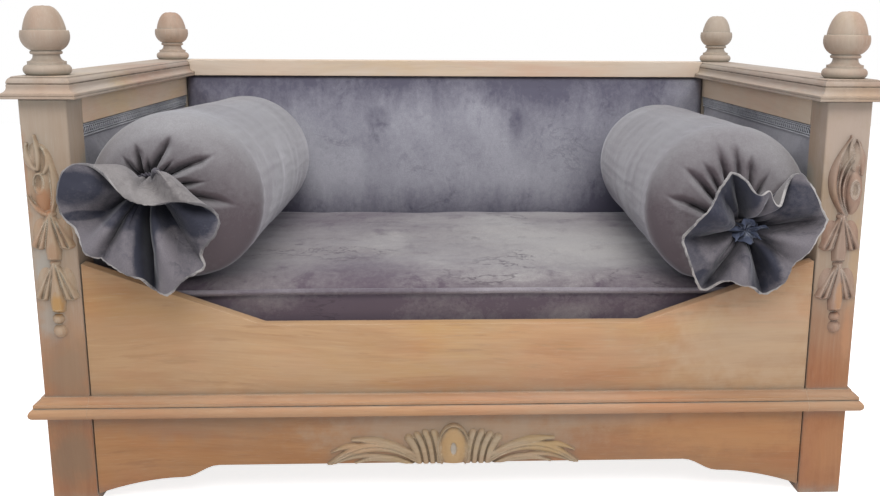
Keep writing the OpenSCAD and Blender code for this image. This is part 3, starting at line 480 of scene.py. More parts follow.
def eased(node, material):
    """A copy of a straight CAD part with its long edges eased and its ends a hair short of the posts"""
    end_gap, near_end = 0.0015, 1e-4
    piece = merged_copy(node, node + "_eased")
    with editing(piece):
        bpy.ops.mesh.dissolve_limited(angle_limit=math.radians(1))
    points = coordinates(piece)
    x = points[:, 0].copy()
    points[x < x.min() + near_end, 0] += end_gap
    points[x > x.max() - near_end, 0] -= end_gap
    put_coordinates(piece, points)
    apply_modifier(piece, "BEVEL", width=0.0012, segments=2, limit_method="ANGLE",
                   angle_limit=math.radians(50), use_clamp_overlap=True, harden_normals=False)
    finish_piece(piece, "frame", material, node, angle=35)


# Height and radius of the nut at the top of a finial
NUT_H = 0.357 * 0.076
NUT_R = 0.0229


def turned_smooth(node, material):
    """A copy of a finial with its curves made smooth, its arrises kept and its nut on a true curve"""
    piece = merged_copy(node, node + "_turned")
    with editing(piece):
        bpy.ops.mesh.tris_convert_to_quads(
            face_threshold=math.radians(12), shape_threshold=math.radians(60))
        bpy.ops.mesh.select_all(action="DESELECT")
        bpy.ops.mesh.select_mode(type="EDGE")
        bpy.ops.mesh.edges_select_sharp(sharpness=math.radians(32))
        bpy.ops.transform.edge_crease(value=1.0)
        bpy.ops.mesh.select_mode(type="VERT")
    subdivide(piece)
    low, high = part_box(node)
    middle = np.array([(low.x + high.x) / 2, (low.y + high.y) / 2])
    foot = high.z - NUT_H
    points = coordinates(piece)
    out = points[:, :2] - middle
    radius = np.hypot(*out.T)
    share = np.clip((points[:, 2] - foot) / NUT_H, 0, 1)
    true_radius = NUT_R * (1 - share**1.3) ** 0.327
    on_nut = (points[:, 2] > foot + 0.0008) & (radius > 0.003) & (share < 0.995)
    points[on_nut, :2] = middle + out[on_nut] * (true_radius / np.maximum(radius, 1e-6))[on_nut, None]
    put_coordinates(piece, points)
    finish_piece(piece, "frame", material, node, angle=32)


def quirked(node, material, quirks):
    """A copy of a moulded CAD part with grooves cut level round it, each given by its height above
    the part's foot, its depth and half its width"""
    piece = merged_copy(node, node + "_quirked")
    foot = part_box(node)[0].z
    near = 2e-5
    for up, depth, half in quirks:
        with editing(piece):
            for height in (up - half, up, up + half):
                bpy.ops.mesh.select_all(action="SELECT")
                bpy.ops.mesh.bisect(plane_co=(0, 0, foot + height), plane_no=(0, 0, 1))
        points = coordinates(piece)
        level = np.abs(points[:, 2] - foot - up) < near
        for axis in (0, 1):
            least, most = points[level, axis].min(), points[level, axis].max()
            points[level & (points[:, axis] > most - near), axis] -= depth
            points[level & (points[:, axis] < least + near), axis] += depth
        put_coordinates(piece, points)
    finish_piece(piece, "frame", material, node, angle=32)


# Soft goods

FILLED = {"quality": 4, "mass": 0.3, "tension_stiffness": 12, "compression_stiffness": 12,
          "shear_stiffness": 4, "bending_stiffness": 0.6, "use_pressure": True}
LAST_FRAME = 20


def remesh(piece, voxel):
    make_active(piece)
    piece.data.remesh_voxel_size = voxel
    bpy.ops.object.voxel_remesh()


def swell(piece, most, pressure, held):
    """Fills a soft piece by a cloth simulation; no point moves further than most. held gives each
    point's hold, from 0, free, to 1, fixed"""
    before = coordinates(piece)
    make_active(piece)
    modifier = piece.modifiers.new("swell", "CLOTH")
    for name, value in FILLED.items():
        setattr(modifier.settings, name, value)
    modifier.settings.uniform_pressure_force = pressure
    modifier.settings.effector_weights.gravity = 0
    pins = piece.vertex_groups.new(name="held")
    for index in np.nonzero(held > 0.01)[0]:
        pins.add([int(index)], float(held[index]), "REPLACE")
    modifier.settings.vertex_group_mass = "held"
    modifier.point_cache.frame_start = 1
    modifier.point_cache.frame_end = LAST_FRAME
    for at in range(1, LAST_FRAME + 1):
        scene.frame_set(at)
    bpy.ops.object.modifier_apply(modifier=modifier.name)
    scene.frame_set(1)
    move = coordinates(piece) - before
    length = np.linalg.norm(move, axis=1, keepdims=True)
    put_coordinates(piece, before + move * np.tanh(length / most) * most / np.maximum(length, 1e-9))
    piece.vertex_groups.clear()


def rolled(name, around, along, place):
    """A tube: a grid whose points place(turn, way) puts round an axis, with its seam welded.
    turn and way run from 0 to 1"""
    bpy.ops.mesh.primitive_grid_add(x_subdivisions=around, y_subdivisions=along, size=1)
    piece = bpy.context.object
    piece.name = name
    flat = coordinates(piece)
    put_coordinates(piece, place(flat[:, 0] + 0.5, flat[:, 1] + 0.5))
    with editing(piece):
        bpy.ops.mesh.remove_doubles(threshold=WELD)
    return piece


def close_ends(piece):
    """Fills the open ends of a tube, each with a fan round one point"""
    with editing(piece):
        bpy.ops.mesh.select_all(action="DESELECT")
        bpy.ops.mesh.select_non_manifold()
        bpy.ops.mesh.edge_face_add()
        bpy.ops.mesh.poke()
    turn_faces_out(piece)


def ripple(points, scale, seed, stretch=(1, 1, 1)):
    """Smooth noise from -1 to 1 at each point"""
    s = np.asarray(stretch) * scale
    return np.array([noise.noise(Vector(p * s) + Vector((seed, seed * 1.7, -seed))) for p in points])


def round_spline(angles, values, turns):
    """Smooth periodic curve through values at angles, read at turns; all in degrees"""
    order = np.argsort(np.mod(angles, 360))
    a, v = np.mod(angles, 360)[order], np.asarray(values, float)[order]
    a = np.concatenate([a[-2:] - 360, a, a[:2] + 360])
    v = np.concatenate([v[-2:], v, v[:2]])
    slope = np.zeros_like(v)
    slope[1:-1] = (v[2:] - v[:-2]) / (a[2:] - a[:-2])
    t = np.mod(turns, 360)
    k = np.clip(np.searchsorted(a, t, side="right") - 1, 1, len(a) - 3)
    h = a[k + 1] - a[k]
    u = (t - a[k]) / h
    return ((2 * u**3 - 3 * u**2 + 1) * v[k] + (u**3 - 2 * u**2 + u) * h * slope[k]
            + (3 * u**2 - 2 * u**3) * v[k + 1] + (u**3 - u**2) * h * slope[k + 1])


def smoothstep(x, low, high):
    t = np.clip((x - low) / (high - low), 0, 1)
    return t * t * (3 - 2 * t)


def turn_from(angle, direction):
    """Signed turn to each angle, in radians, from a direction, in degrees"""
    return np.angle(np.exp(1j * (angle - math.radians(direction))))


# Bolsters. Places are in millimetres: the axis at the front and at the back, and the throat.

TIE_Y = -278.25
BOLSTER_BACK_Y = 249.75
THROAT_R = 14.0
RUFFLE_RIM_Y = -325.25

LEFT = {
    "name": "left", "front": (-325.0, 365.0), "back": (-317.0, 358.0), "throat": (-347.0, 380.0),
    "front_r": 101.0, "back_r": 94.5, "domes": (52.0, 64.0), "wall": -426.5,
    # Direction, reach, depth and width of each crease, in degrees and millimetres
    "creases": [
        (131, 50, 7, 3), (112, 58, 9, 3), (97, 34, 9, 4), (80, 66, 10, 3), (60, 36, 9, 4), (41, 70, 9, 3.2),
        (17, 48, 7, 4), (-6, 74, 6, 3.5), (-30, 56, 7, 5), (-60, 70, 8, 4), (-90, 56, 7, 5), (-118, 74, 8, 4),
        (-148, 54, 8, 5), (-176, 60, 8, 4), (154, 52, 8, 4)],
    # Turn in degrees, x and z of the rim as the camera sees it in the plane of the rim
    "rim": [
        (150, -430, 392), (143, -426, 405), (135, -416, 414), (128, -401, 416), (122, -388, 409),
        (118, -376, 396), (112, -365, 381), (95, -349, 373), (78, -334, 370), (60, -313, 372), (42, -293, 373),
        (30, -276, 372), (22, -265, 365), (10, -259, 351), (0, -263, 336), (-9, -273, 325), (-19, -281, 313),
        (-30, -278, 298), (-42, -291, 289), (-52, -302, 285), (-65, -315, 270), (-77, -330, 268),
        (-87, -343, 271), (-95, -350, 284), (-119, -369, 297), (-140, -385, 305), (-156, -401, 314),
        (-170, -414, 327), (-181, -423, 343), (-190, -431, 357), (-201, -433, 375)],
    "mouth": (-346.0, 340.0),
    # Direction, depth and width of each fold inside the ruffle, in degrees, mm and degrees
    "folds": [
        (-84, 30, 9), (-60, -21, 11), (-40, 5, 8), (-22, 18, 13), (0, -9, 8), (15, 9, 10), (-112, -8, 17),
        (182, 20, 13), (201, -15, 7), (213, 10, 7), (240, -6, 16), (152, -7, 10), (124, 10, 10), (94, -9, 10),
        (64, 8, 10), (38, -9, 12)],
    "gather": 0.45,
    # Direction, height and width of each puff of the part that stands over the throat
    "puffs": [(40, 24, 24), (122, 12, 20)],
}
RIGHT = {
    "name": "right", "front": (331.0, 352.0), "back": (337.0, 353.0), "throat": (338.0, 335.0),
    "front_r": 99.0, "back_r": 90.5, "domes": (52.0, 92.0), "wall": 426.5,
    "creases": [
        (139, 80, 8, 4), (122, 70, 9, 3.5), (108, 88, 10, 3.5), (92, 84, 9, 3), (76, 68, 8, 4), (57, 56, 7, 4),
        (34, 70, 7, 4), (6, 54, 7, 5), (-22, 72, 8, 4), (-50, 54, 7, 5), (-78, 70, 8, 4), (-104, 54, 7, 5),
        (-132, 76, 8, 4), (-160, 62, 7, 5), (165, 78, 9, 4)],
    "rim": [
        (105, 314, 406), (94, 329, 398), (80, 341, 381), (68, 353, 386), (57, 369, 368), (50, 379, 398),
        (43, 390, 405), (35, 401, 393), (20, 416, 367), (7, 428, 349), (-8, 411, 327), (-32, 392, 301),
        (-46, 382, 287), (-60, 371, 271), (-73, 357, 261), (-83, 342, 271), (-96, 327, 278), (-112, 310, 279),
        (-121, 289, 266), (-134, 276, 279), (-159, 263, 311), (-174, 259, 330), (-189, 271, 348),
        (-215, 288, 370), (-246, 305, 399)],
    "mouth": (333.0, 338.0),
    "folds": [
        (106, 16, 9), (78, -14, 9), (50, 18, 8), (28, -8, 8), (8, 17, 8), (-14, -11, 9), (-36, 7, 7),
        (-52, -9, 7), (-74, 19, 9), (-98, -16, 8), (-124, 17, 8), (-148, -10, 9), (-174, 15, 9), (152, -13, 9),
        (128, 10, 9)],
    "gather": 1.0, "puffs": [],
}


def pressed(reach, limit, soft):
    """Reach held short of a limit, with a soft shoulder before it"""
    over = np.maximum(reach - (limit - soft), 0)
    return np.where(over > 0, limit - soft * np.exp(-over / soft), reach)


# Shares of the way along a bolster where its front dome ends and its back one starts
NEAR_WAY, FAR_WAY = 0.42, 0.8
SEAT_Z, WALL_SOFT, SEAT_SOFT = 264.5, 6.0, 5.0


def bolster_place(side):
    """Puts the points of a bolster: way runs from the front throat over the body to the back one"""
    length = BOLSTER_BACK_Y - TIE_Y
    front, back, throat = (np.array(side[k]) for k in ("front", "back", "throat"))
    near_dome, far_dome = side["domes"]

    def place(turn, way):
        angle = 2 * math.pi * turn
        ends = [way < NEAR_WAY, way > FAR_WAY]
        # A full dome at each end, with its share of the radius and of its depth
        near = np.clip(way / NEAR_WAY, 0, 1) * math.pi / 2
        far = np.clip((1 - way) / (1 - FAR_WAY), 0, 1) * math.pi / 2
        along = np.clip((way - NEAR_WAY) / (FAR_WAY - NEAR_WAY), 0, 1)
        y = np.select(
            ends, [near_dome * (1 - np.cos(near) ** 0.72), length - far_dome * (1 - np.cos(far) ** 0.8)],
            near_dome + (length - near_dome - far_dome) * along)
        share = np.select(ends, [np.sin(near) ** 0.72, np.sin(far) ** 0.8], 1.0)
        t = y / length
        full = side["front_r"] * (1 - t) + side["back_r"] * t
        radius = THROAT_R + (full - THROAT_R) * share
        at_front = np.where(ends[0], 1 - share, 0)
        cx, cz = (front[k] * (1 - t) + back[k] * t + at_front * (throat[k] - front[k]) for k in (0, 1))
        # Creases run out from the throat; the cloth puffs up between them
        sink = np.zeros_like(radius)
        between = np.full_like(radius, 9.0)
        for k, (direction, reach, depth, width) in enumerate(side["creases"]):
            for mine, heading in zip(ends, (direction, 180 - direction + 17)):
                sway = 0.022 * np.sin(radius / 13 + 2.3 * k) * smoothstep(radius, 20, 60)
                across = turn_from(angle - sway, heading) * radius * (1 if k % 2 else -1)
                fade = 1 - smoothstep(radius, reach * 0.25, reach + 12)
                narrow = width * (0.25 + 0.9 * fade)
                # One side of the crease is steep, and the cloth laps over it from the other
                lapped = np.exp(-np.maximum(across, 0) / narrow)
                cut = np.where(across > 0, lapped, np.exp(-((across / 1.1) ** 2)))
                sink = sink + mine * 1.8 * depth * fade * cut
                clear = np.abs(across) + 9 * smoothstep(radius, reach - 12, reach + 10)
                between = np.where(mine, np.minimum(between, clear), between)
        # Each lobe between two creases is a soft pillow
        lobe = np.where(ends[0] | ends[1], smoothstep(between, 0, 9) * 4.2, 0)
        lobe = lobe * smoothstep(radius, 15, 28) * (1 - smoothstep(radius, 62, 92))
        lift = lobe - sink
        # The surface faces forward near the throat and sideways on the body
        out = np.clip(share, 0, 1)
        radius = radius + lift * out * 0.8
        y = y + np.where(ends[0], -1, 1) * np.sqrt(np.clip(1 - out**2, 0, 1)) * lift
        x, z = cx + radius * np.cos(angle), cz + radius * np.sin(angle)
        # It lies pressed flat on the seat and against the arm
        way_out = math.copysign(1, side["wall"])
        x = way_out * pressed(way_out * x, abs(side["wall"]), WALL_SOFT)
        z = -pressed(-z, -SEAT_Z, SEAT_SOFT)
        return np.stack([x, TIE_Y + y, z], axis=1) * MM

    return place


def make_bolster(side, material):
    name = side["name"]
    piece = rolled(name + "_bolster_velvet", 224, 108, bolster_place(side))
    points = coordinates(piece)
    y = points[:, 1] / MM
    axis_x, axis_z = side["front"]
    out = points - np.array([axis_x, 0, axis_z]) * MM
    out[:, 1] = 0
    radius = np.linalg.norm(out, axis=1, keepdims=True)
    out = out / np.maximum(radius, 1e-6)
    body = smoothstep(radius[:, 0], 0.07, 0.09)
    hoops = ripple(points, 16, 3.1, (0.5, 2.4, 0.5)) * 0.0008 + ripple(points, 9, 8.2) * 0.0014
    points = points + out * (hoops * body)[:, None]
    # The cloth lies flatter where the bolster rests, and is held at the tied ends
    points[:, 2] += smoothstep(axis_z - points[:, 2] / MM, 86, 96) * 0.0012
    put_coordinates(piece, points)
    front_held = smoothstep(y, TIE_Y + 12, TIE_Y + 2)
    back_held = smoothstep(y, BOLSTER_BACK_Y - 12, BOLSTER_BACK_Y - 2)
    swell(piece, 0.0025, 3.0, np.maximum(np.maximum(front_held, back_held), 0.15))
    subdivide(piece)
    close_ends(piece)
    finish_piece(piece, "bolster_" + name, material, name + "_bolster")
    return piece


def ruffle_place(side):
    """Puts the points of a ruffle: way runs from the tie to the cut edge"""
    throat, mouth = np.array(side["throat"]), np.array(side["mouth"])
    turns, across, up = (np.array(column, float) for column in zip(*side["rim"]))
    reach = np.hypot(across - mouth[0], up - mouth[1])
    camera = np.array(CAMERA_PLACE) / MM

    def place(turn, way):
        degrees = 360 * turn
        angle = np.radians(degrees)
        way = 1 - (1 - way) ** 1.15
        rim = round_spline(turns, reach, degrees)
        # The rim as seen, slid along the line of sight to where the cloth's length takes it
        seen = np.stack([round_spline(turns, across, degrees), np.full_like(rim, RUFFLE_RIM_Y),
                         round_spline(turns, up, degrees)], axis=1)
        ahead_y = -340.0 + 19.0 * smoothstep(rim / rim.max(), 0.45, 1.0)
        share = (ahead_y - camera[1]) / (RUFFLE_RIM_Y - camera[1])
        end = camera + (seen - camera) * share[:, None]
        ring = THROAT_R * (1 + 0.14 * np.cos(13 * angle + 0.7))
        begin = np.stack([throat[0] + ring * np.cos(angle), np.full_like(rim, TIE_Y),
                          throat[1] + ring * np.sin(angle)], axis=1)
        out = 0.35 * way + 0.65 * way**2.1
        mix = np.stack([out, 1 - (1 - way) ** 1.5, out], axis=1)
        points = begin * (1 - mix) + end * mix
        fold = np.zeros_like(rim)
        for direction, depth, width in side["folds"]:
            off = np.degrees(turn_from(angle - 0.12 * (1 - way), direction))
            fold += depth * np.exp(-((off / width) ** 2))
        points[:, 1] += fold * (way * (1.15 - way)) ** 0.75 * 2.2
        for direction, height, width in side["puffs"]:
            off = np.degrees(turn_from(angle, direction))
            points[:, 2] += height * np.exp(-((off / width) ** 2)) * np.sin(math.pi * way) ** 1.5
        # Tight gathers fade out from the tie
        gather = np.sin(12 * angle + 0.7 + 1.3 * np.sin(3 * angle)) * (4.5 + 2 * np.sin(2 * angle + 1))
        points[:, 1] += gather * smoothstep(way, 0, 0.16) * (1 - smoothstep(way, 0.3, 0.85)) * side["gather"]
        # The cut edge frays
        fray = (0.7 * np.sin(311 * angle) + 0.6 * np.sin(173 * angle + 1)) * smoothstep(way, 0.985, 1)
        outward = points[:, [0, 2]] - throat
        outward /= np.maximum(np.linalg.norm(outward, axis=1, keepdims=True), 1e-6)
        points[:, [0, 2]] += outward * fray[:, None]
        return points * MM

    return place


def make_ruffle(side, outside, inside, rim):
    name = side["name"]
    piece = rolled(name + "_ruffle_velvet", 216, 34, ruffle_place(side))
    points = coordinates(piece)
    deep = smoothstep(-points[:, 1], 0.282, 0.3)
    points[:, 1] += (ripple(points, 60, 4.4) * 0.0016 + ripple(points, 140, 2.4) * 0.0006) * deep
    put_coordinates(piece, points)
    face_outward(piece)
    # The inner side takes the darker mouth velvet, painted shade inside the ruffle
    for material in (outside, inside, rim, rim, rim):
        piece.data.materials.append(material)
    # The last row of faces is the pale hem; Solidify adds one to the inner side and two to the edge
    piece.data.polygons.foreach_set("material_index", np.where(hem_faces(piece), 2, 0))
    apply_modifier(piece, "SOLIDIFY", thickness=0.0034, offset=-1.0,
                   material_offset=1, material_offset_rim=2)
    subdivide(piece)
    piece.data.shade_smooth()
    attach(piece, "bolster_" + name)
    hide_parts(name + "_ruffle")
    return piece


def hem_faces(piece):
    """True for the faces of an open tube that lie next to its more forward end"""
    edges = {}
    for edge_key in piece.data.edge_keys:
        for v in edge_key:
            edges[v] = edges.get(v, 0) + 1
    points = coordinates(piece)
    # The points of an open end have three edges
    ends = [v for v, count in edges.items() if count == 3]
    middle = np.median(points[ends, 1])
    rim = {v for v in ends if points[v, 1] < middle - 0.01} or set(ends)
    near = set(rim)
    for polygon in piece.data.polygons:
        if any(v in rim for v in polygon.vertices):
            near.update(polygon.vertices)
    return np.array([all(v in near for v in polygon.vertices) for polygon in piece.data.polygons])


def face_outward(piece):
    """Turns the faces of an open tube away from its axis"""
    turn_faces_out(piece)
    middle = Vector(coordinates(piece).mean(axis=0))
    level = Vector((1, 0, 1))
    if sum(((p.center - middle) * level).dot(p.normal) * p.area for p in piece.data.polygons) < 0:
        piece.data.flip_normals()


def make_tuft(side, material):
    """The lining's raw edge, crumpled where the tie pinches it"""
    x, z = side["throat"]

    def place(turn, way):
        angle = 2 * math.pi * turn
        jag = 3.4 * np.sin(4 * angle + 1) + 2.4 * np.sin(9 * angle) + 1.2 * np.sin(23 * angle)
        reach = 0.8 + way**0.8 * (12.5 + jag * way)
        ahead = 14.0 + 10.0 * way + 7.0 * way * (np.sin(6 * angle + 2 + 3 * way) + 0.7 * np.sin(11 * angle))
        twist = angle + 0.25 * way * np.sin(4 * angle)
        return np.stack([x + 1.5 + 1.35 * reach * np.cos(twist), TIE_Y - 1.5 - ahead,
                         z - 1.0 + 0.9 * reach * np.sin(twist)], axis=1) * MM

    piece = rolled(side["name"] + "_tuft_lining", 120, 12, place)
    apply_modifier(piece, "SOLIDIFY", thickness=0.0009, offset=-1.0)
    subdivide(piece)
    piece.data.materials.append(material)
    piece.data.shade_smooth()
    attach(piece, "bolster_" + side["name"])
    return piece


def make_tie(side, material):
    """A two-ply cord knotted tight round the throat"""
    name = side["name"]
    x, z = side["throat"]
    ply_r, lay_r, lay_turns = 1.5, 1.35, 13

    def strand(ply):
        def place(turn, way):
            around = 2 * math.pi * way
            lay = 2 * math.pi * (lay_turns * way + ply / 2)
            across = 2 * math.pi * turn
            out = THROAT_R + 2.6 + lay_r * np.cos(lay) + ply_r * np.cos(across)
            y = TIE_Y + 0.5 + lay_r * np.sin(lay) + ply_r * np.sin(across)
            return np.stack([x + out * np.cos(around), y, z + out * np.sin(around)], axis=1) * MM
        return rolled(name + "_tie_cord", 10, 150, place)

    piece = joined(strand(0), [strand(1)])
    finish_piece(piece, "bolster_" + name, material, name + "_tie")


# Carving


def blade(spots, base, bend, tip, width, high, start=0.3, fullest=0.6, end=0.3, ridge=0.0, groove=0.0,
          slope=(1, 1)):
    """Height of a carved leaf over each spot. Its middle line bends from base to tip; start and end
    are its width there as a share of its full width. Below zero is outside the leaf"""
    steps = np.linspace(0, 1, 22)[:, None]
    base, bend, tip = (np.array(p, float) for p in (base, bend, tip))
    line = (1 - steps) ** 2 * base + 2 * steps * (1 - steps) * bend + steps**2 * tip
    begin, run = line[:-1], np.diff(line, axis=0)
    from_begin = spots[:, None, :] - begin[None]
    along = np.clip((from_begin * run).sum(-1) / (run * run).sum(-1), 0, 1)
    off = from_begin - along[..., None] * run
    far = np.linalg.norm(off, axis=-1)
    nearest = far.argmin(axis=1)
    rows = np.arange(len(spots))
    share = (nearest + along[rows, nearest]) / len(run)
    far = far[rows, nearest]
    wide = start + (1 - start) * smoothstep(share, 0, fullest) - (1 - end) * smoothstep(share, fullest, 1)
    r = far / np.maximum(wide * width / 2, 0.4)
    crown = high * (slope[0] + (slope[1] - slope[0]) * share)
    body = crown * (1 - np.minimum(r, 4) ** 2.6) + ridge * np.maximum(1 - r, 0)
    return body - groove * np.exp(-((far / 0.9) ** 2)) * (r < 1)


def dome(spots, centre, semi, high, power=2.4):
    r = np.hypot((spots[:, 0] - centre[0]) / semi[0], (spots[:, 1] - centre[1]) / semi[1])
    return high * (1 - np.minimum(r, 4) ** power)


def ring(spots, centre, semi, width, high):
    """Height of a raised oval line"""
    r = np.hypot((spots[:, 0] - centre[0]) / semi[0], (spots[:, 1] - centre[1]) / semi[1])
    return high * (1 - np.minimum(np.abs(r - 1) * min(semi) / (width / 2), 4) ** 2)


def cut_flat(spots, high, line, out=0.0, bow=0.0):
    """A carved form cut across below a line down the post, bowed about a place out to each side"""
    edge = line - bow * (np.abs(spots[:, 0]) - out) ** 2
    return np.minimum(high, (edge - spots[:, 1]) * 1.9)


def husks(spots, top, tall):
    """A bud between two ribbed wings, all cut across at their feet"""
    parts = []
    for way in (-1, 1):
        wing = dome(spots, (way * 11, top + 0.47 * tall), (11, 0.37 * tall), 3.9, 2.6)
        outer = blade(spots, (way * 2.5, top + 3), (way * 12, top + 0.32 * tall),
                      (way * 21.5, top + 0.72 * tall), 8.5, 4.8, start=0.4, fullest=0.95, end=1.0,
                      ridge=0.8, slope=(0.8, 1.2))
        inner = blade(spots, (way * 2, top + 3), (way * 7, top + 0.36 * tall), (way * 14, top + 0.78 * tall),
                      8.5, 5.6, start=0.5, fullest=0.9, end=1.0, ridge=1.0)
        parts.append(cut_flat(spots, np.max([wing, outer, inner], axis=0), top + 0.76 * tall, 15.0, 0.045))
    bud = blade(spots, (0.3, top + 1), (0.3, top + tall / 2), (0.3, top + tall),
                19.0, 7.2, start=0.32, fullest=0.72, end=0.86, ridge=1.6, slope=(0.8, 1.12))
    return parts + [cut_flat(spots, bud, top + tall, 0.0, 0.03), dome(spots, (0, top + 1), (6.5, 4.6), 5.8)]

# A leaf round a cabochon, two rows of husks and two beads, in millimetres across away from the
# middle of the sofa and down the post. domes: centre, half sizes, height and power. leaves: base,
# bend, tip, width, height, start, fullest, end, ridge and groove, as blade takes them.
RIGHT_DROP = {
    "domes": [
        ((2, 50), (13, 46), 2.4, 3.0), ((12.5, 24), (7, 21), 3.6, 2.6), ((11, 62), (11, 28), 7.0, 2.6)],
    "leaves": [
        ((4, 92), (-31, 52), (4, -1), 12, 5.4, 0.5, 0.5, 0.16, 0.6),
        ((4, 90), (-20, 52), (7, 18), 5.0, 6.2, 0.5, 0.5, 0.4, 0.9),
        ((5, 89), (-12, 56), (8, 26), 4.4, 6.6, 0.5, 0.5, 0.4, 0.9),
        ((9, 36), (2, 18), (4, -2), 9.5, 4.6, 0.8, 0.35, 0.3, 0, 1.2),
        ((19, 42), (20, 22), (11, 3), 12, 4.4, 0.5, 0.45, 0.2, 0.5)],
    "cabochon": (11.3, 60), "ring": (5.4, 11.0), "eye": (3.6, 8.6), "husks": ((91, 56), (148, 59)),
    "beads": [((1.0, 213.0), (6.8, 6.4), 6.4), ((1.8, 226.0), (8.0, 7.8), 6.8)],
}
# The same kind of drop, with a tuft of leaves over its cabochon
LEFT_DROP = {
    "domes": [
        ((6, 50), (16, 42), 2.8, 3.0), ((10, 24), (12, 18), 3.6, 2.6), ((6, 59.5), (11.5, 26.5), 7.0, 2.6)],
    "leaves": [
        ((-1, 88), (-14, 52), (1, 13), 10, 4.8, 0.5, 0.5, 0.25, 0.8),
        ((12, 36), (24, 27), (20, 8), 11, 5.2, 0.7, 0.45, 0.3, 0.8),
        ((9, 36), (7, 19), (11, -1), 10, 5.6, 0.7, 0.4, 0.35, 0.9),
        ((3, 40), (-7, 27), (3, 12), 10, 5.0, 0.7, 0.45, 0.3, 0.8),
        ((4, 88), (17, 82), (24, 66), 8, 3.8, 0.7, 0.4, 0.25, 0.5)],
    "cabochon": (8.6, 52), "ring": (5.8, 11.2), "eye": (3.8, 8.8), "husks": ((86, 56), (143, 60)),
    "beads": [((1.5, 210.0), (7.0, 6.6), 6.4), ((0.5, 224.5), (8.2, 8.2), 6.8)],
}
# Half of a fluted shell between leaf sprays, across from its middle and up from its foot
SHELL_MIDDLE = (0, 19)
FLUTES = ((17, 24, 44, 4.6), (25, 34, 44, 5.0), (33, 44, 41, 5.2), (41, 54, 38, 5.0))
GOUGES = ((21, 29, 42), (29, 39, 41), (37, 49, 38))
SPRAY_LEAVES = (
    ((45, 10), (84, 32), (121, 31), 11, 4.8, 0.6, 0.6, 0.4, 0, 0.8),
    ((44, 3), (98, 42), (150, -1), 15, 5.4, 0.5, 0.55, 0.4, 0, 1.6),
    ((46, -3), (84, 14), (118, 1), 10, 4.0, 0.5, 0.5, 0.3, 0, 0.8),
    ((100, 22), (126, 26), (147, 15), 8.0, 3.4, 0.5, 0.5, 0.3),
    ((60, 2), (110, 20), (148, -2), 7.0, 2.6, 0.5, 0.5, 0.5),
)


def sunk_eye(spots, parts, centre, semi, depth, edge):
    """The highest of all parts, with an oval eye sunk into it"""
    return np.max(parts, axis=0) - depth * np.clip(dome(spots, centre, semi, 1.0, 2.0) * edge, 0, 1)


def drop_height(spots, drop):
    parts = [dome(spots, *row) for row in drop["domes"]] + [blade(spots, *row) for row in drop["leaves"]]
    parts.append(ring(spots, drop["cabochon"], drop["ring"], 2.4, 7.6))
    for top, tall in drop["husks"]:
        parts += husks(spots, top, tall)
    parts += [dome(spots, *bead) for bead in drop["beads"]]
    return np.minimum(sunk_eye(spots, parts, drop["cabochon"], drop["eye"], 3.2, 1.5), 7.2)


def spray_height(spots):
    spots = np.stack([np.abs(spots[:, 0]), spots[:, 1]], axis=1)
    parts = [dome(spots, (0, 20), (19.5, 30), 4.4, 4.0), ring(spots, SHELL_MIDDLE, (18.6, 29.4), 3.0, 6.6),
             dome(spots, SHELL_MIDDLE, (15.6, 27.0), 6.2, 3.0)]
    parts += [blade(spots, (root, -5), (root + 0.5, tall * 0.5), (top, tall - 6), 12.5, rise,
                    start=0.8, fullest=0.8, end=0.85, slope=(0.8, 1.15)) for root, top, tall, rise in FLUTES]
    parts += [blade(spots, *row) for row in SPRAY_LEAVES]
    high = sunk_eye(spots, parts, SHELL_MIDDLE, (4.4, 9.0), 3.6, 1.6)
    # A gouged line parts each flute from the next
    for root, top, tall in GOUGES:
        line = blade(spots, (root, -6), (root + 0.5, tall * 0.5), (top, tall), 2.6, 1.0, start=1, end=1)
        high = high - 2.4 * np.clip(line, 0, 1)
    return np.minimum(high, 7.0)


def carve(name, node, heights, middle, foot, face, step, material, flip=1, down=False):
    """A carved mount as a closed solid on a flat face. heights reads spots in millimetres, across
    from the middle and up from the foot, or down from it"""
    low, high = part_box(node)
    edge = 3.0
    left, right = low.x / MM - edge, high.x / MM + edge
    bottom, top = low.z / MM - edge, high.z / MM + edge
    bpy.ops.mesh.primitive_grid_add(
        x_subdivisions=round((right - left) / step), y_subdivisions=round((top - bottom) / step), size=1)
    piece = bpy.context.object
    piece.name = name
    flat = coordinates(piece)
    x = left + (flat[:, 0] + 0.5) * (right - left)
    z = bottom + (flat[:, 1] + 0.5) * (top - bottom)
    spots = np.stack([(x - middle) * flip, (foot - z) if down else (z - foot)], axis=1)
    high_at = np.maximum(heights(spots), -2.5)
    wobble = np.array([noise.noise(Vector((a * 0.11, b * 0.11, 3))) for a, b in spots])
    y = face - high_at - 0.25 * wobble * (high_at > 0)
    put_coordinates(piece, np.stack([x, y, z], axis=1) * MM)
    # What lies behind the face is cut away, and below the foot where a mount stands on one
    cuts = [((0, (face + 0.4) * MM, 0), (0, 1, 0))] + ([] if down else [((0, 0, foot * MM), (0, 0, -1))])
    with editing(piece):
        for at, facing in cuts:
            bpy.ops.mesh.select_all(action="SELECT")
            bpy.ops.mesh.bisect(plane_co=at, plane_no=facing, use_fill=True, clear_outer=True)
    turn_faces_out(piece)
    finish_piece(piece, "frame", material, node, angle=50)


# Gimp braid


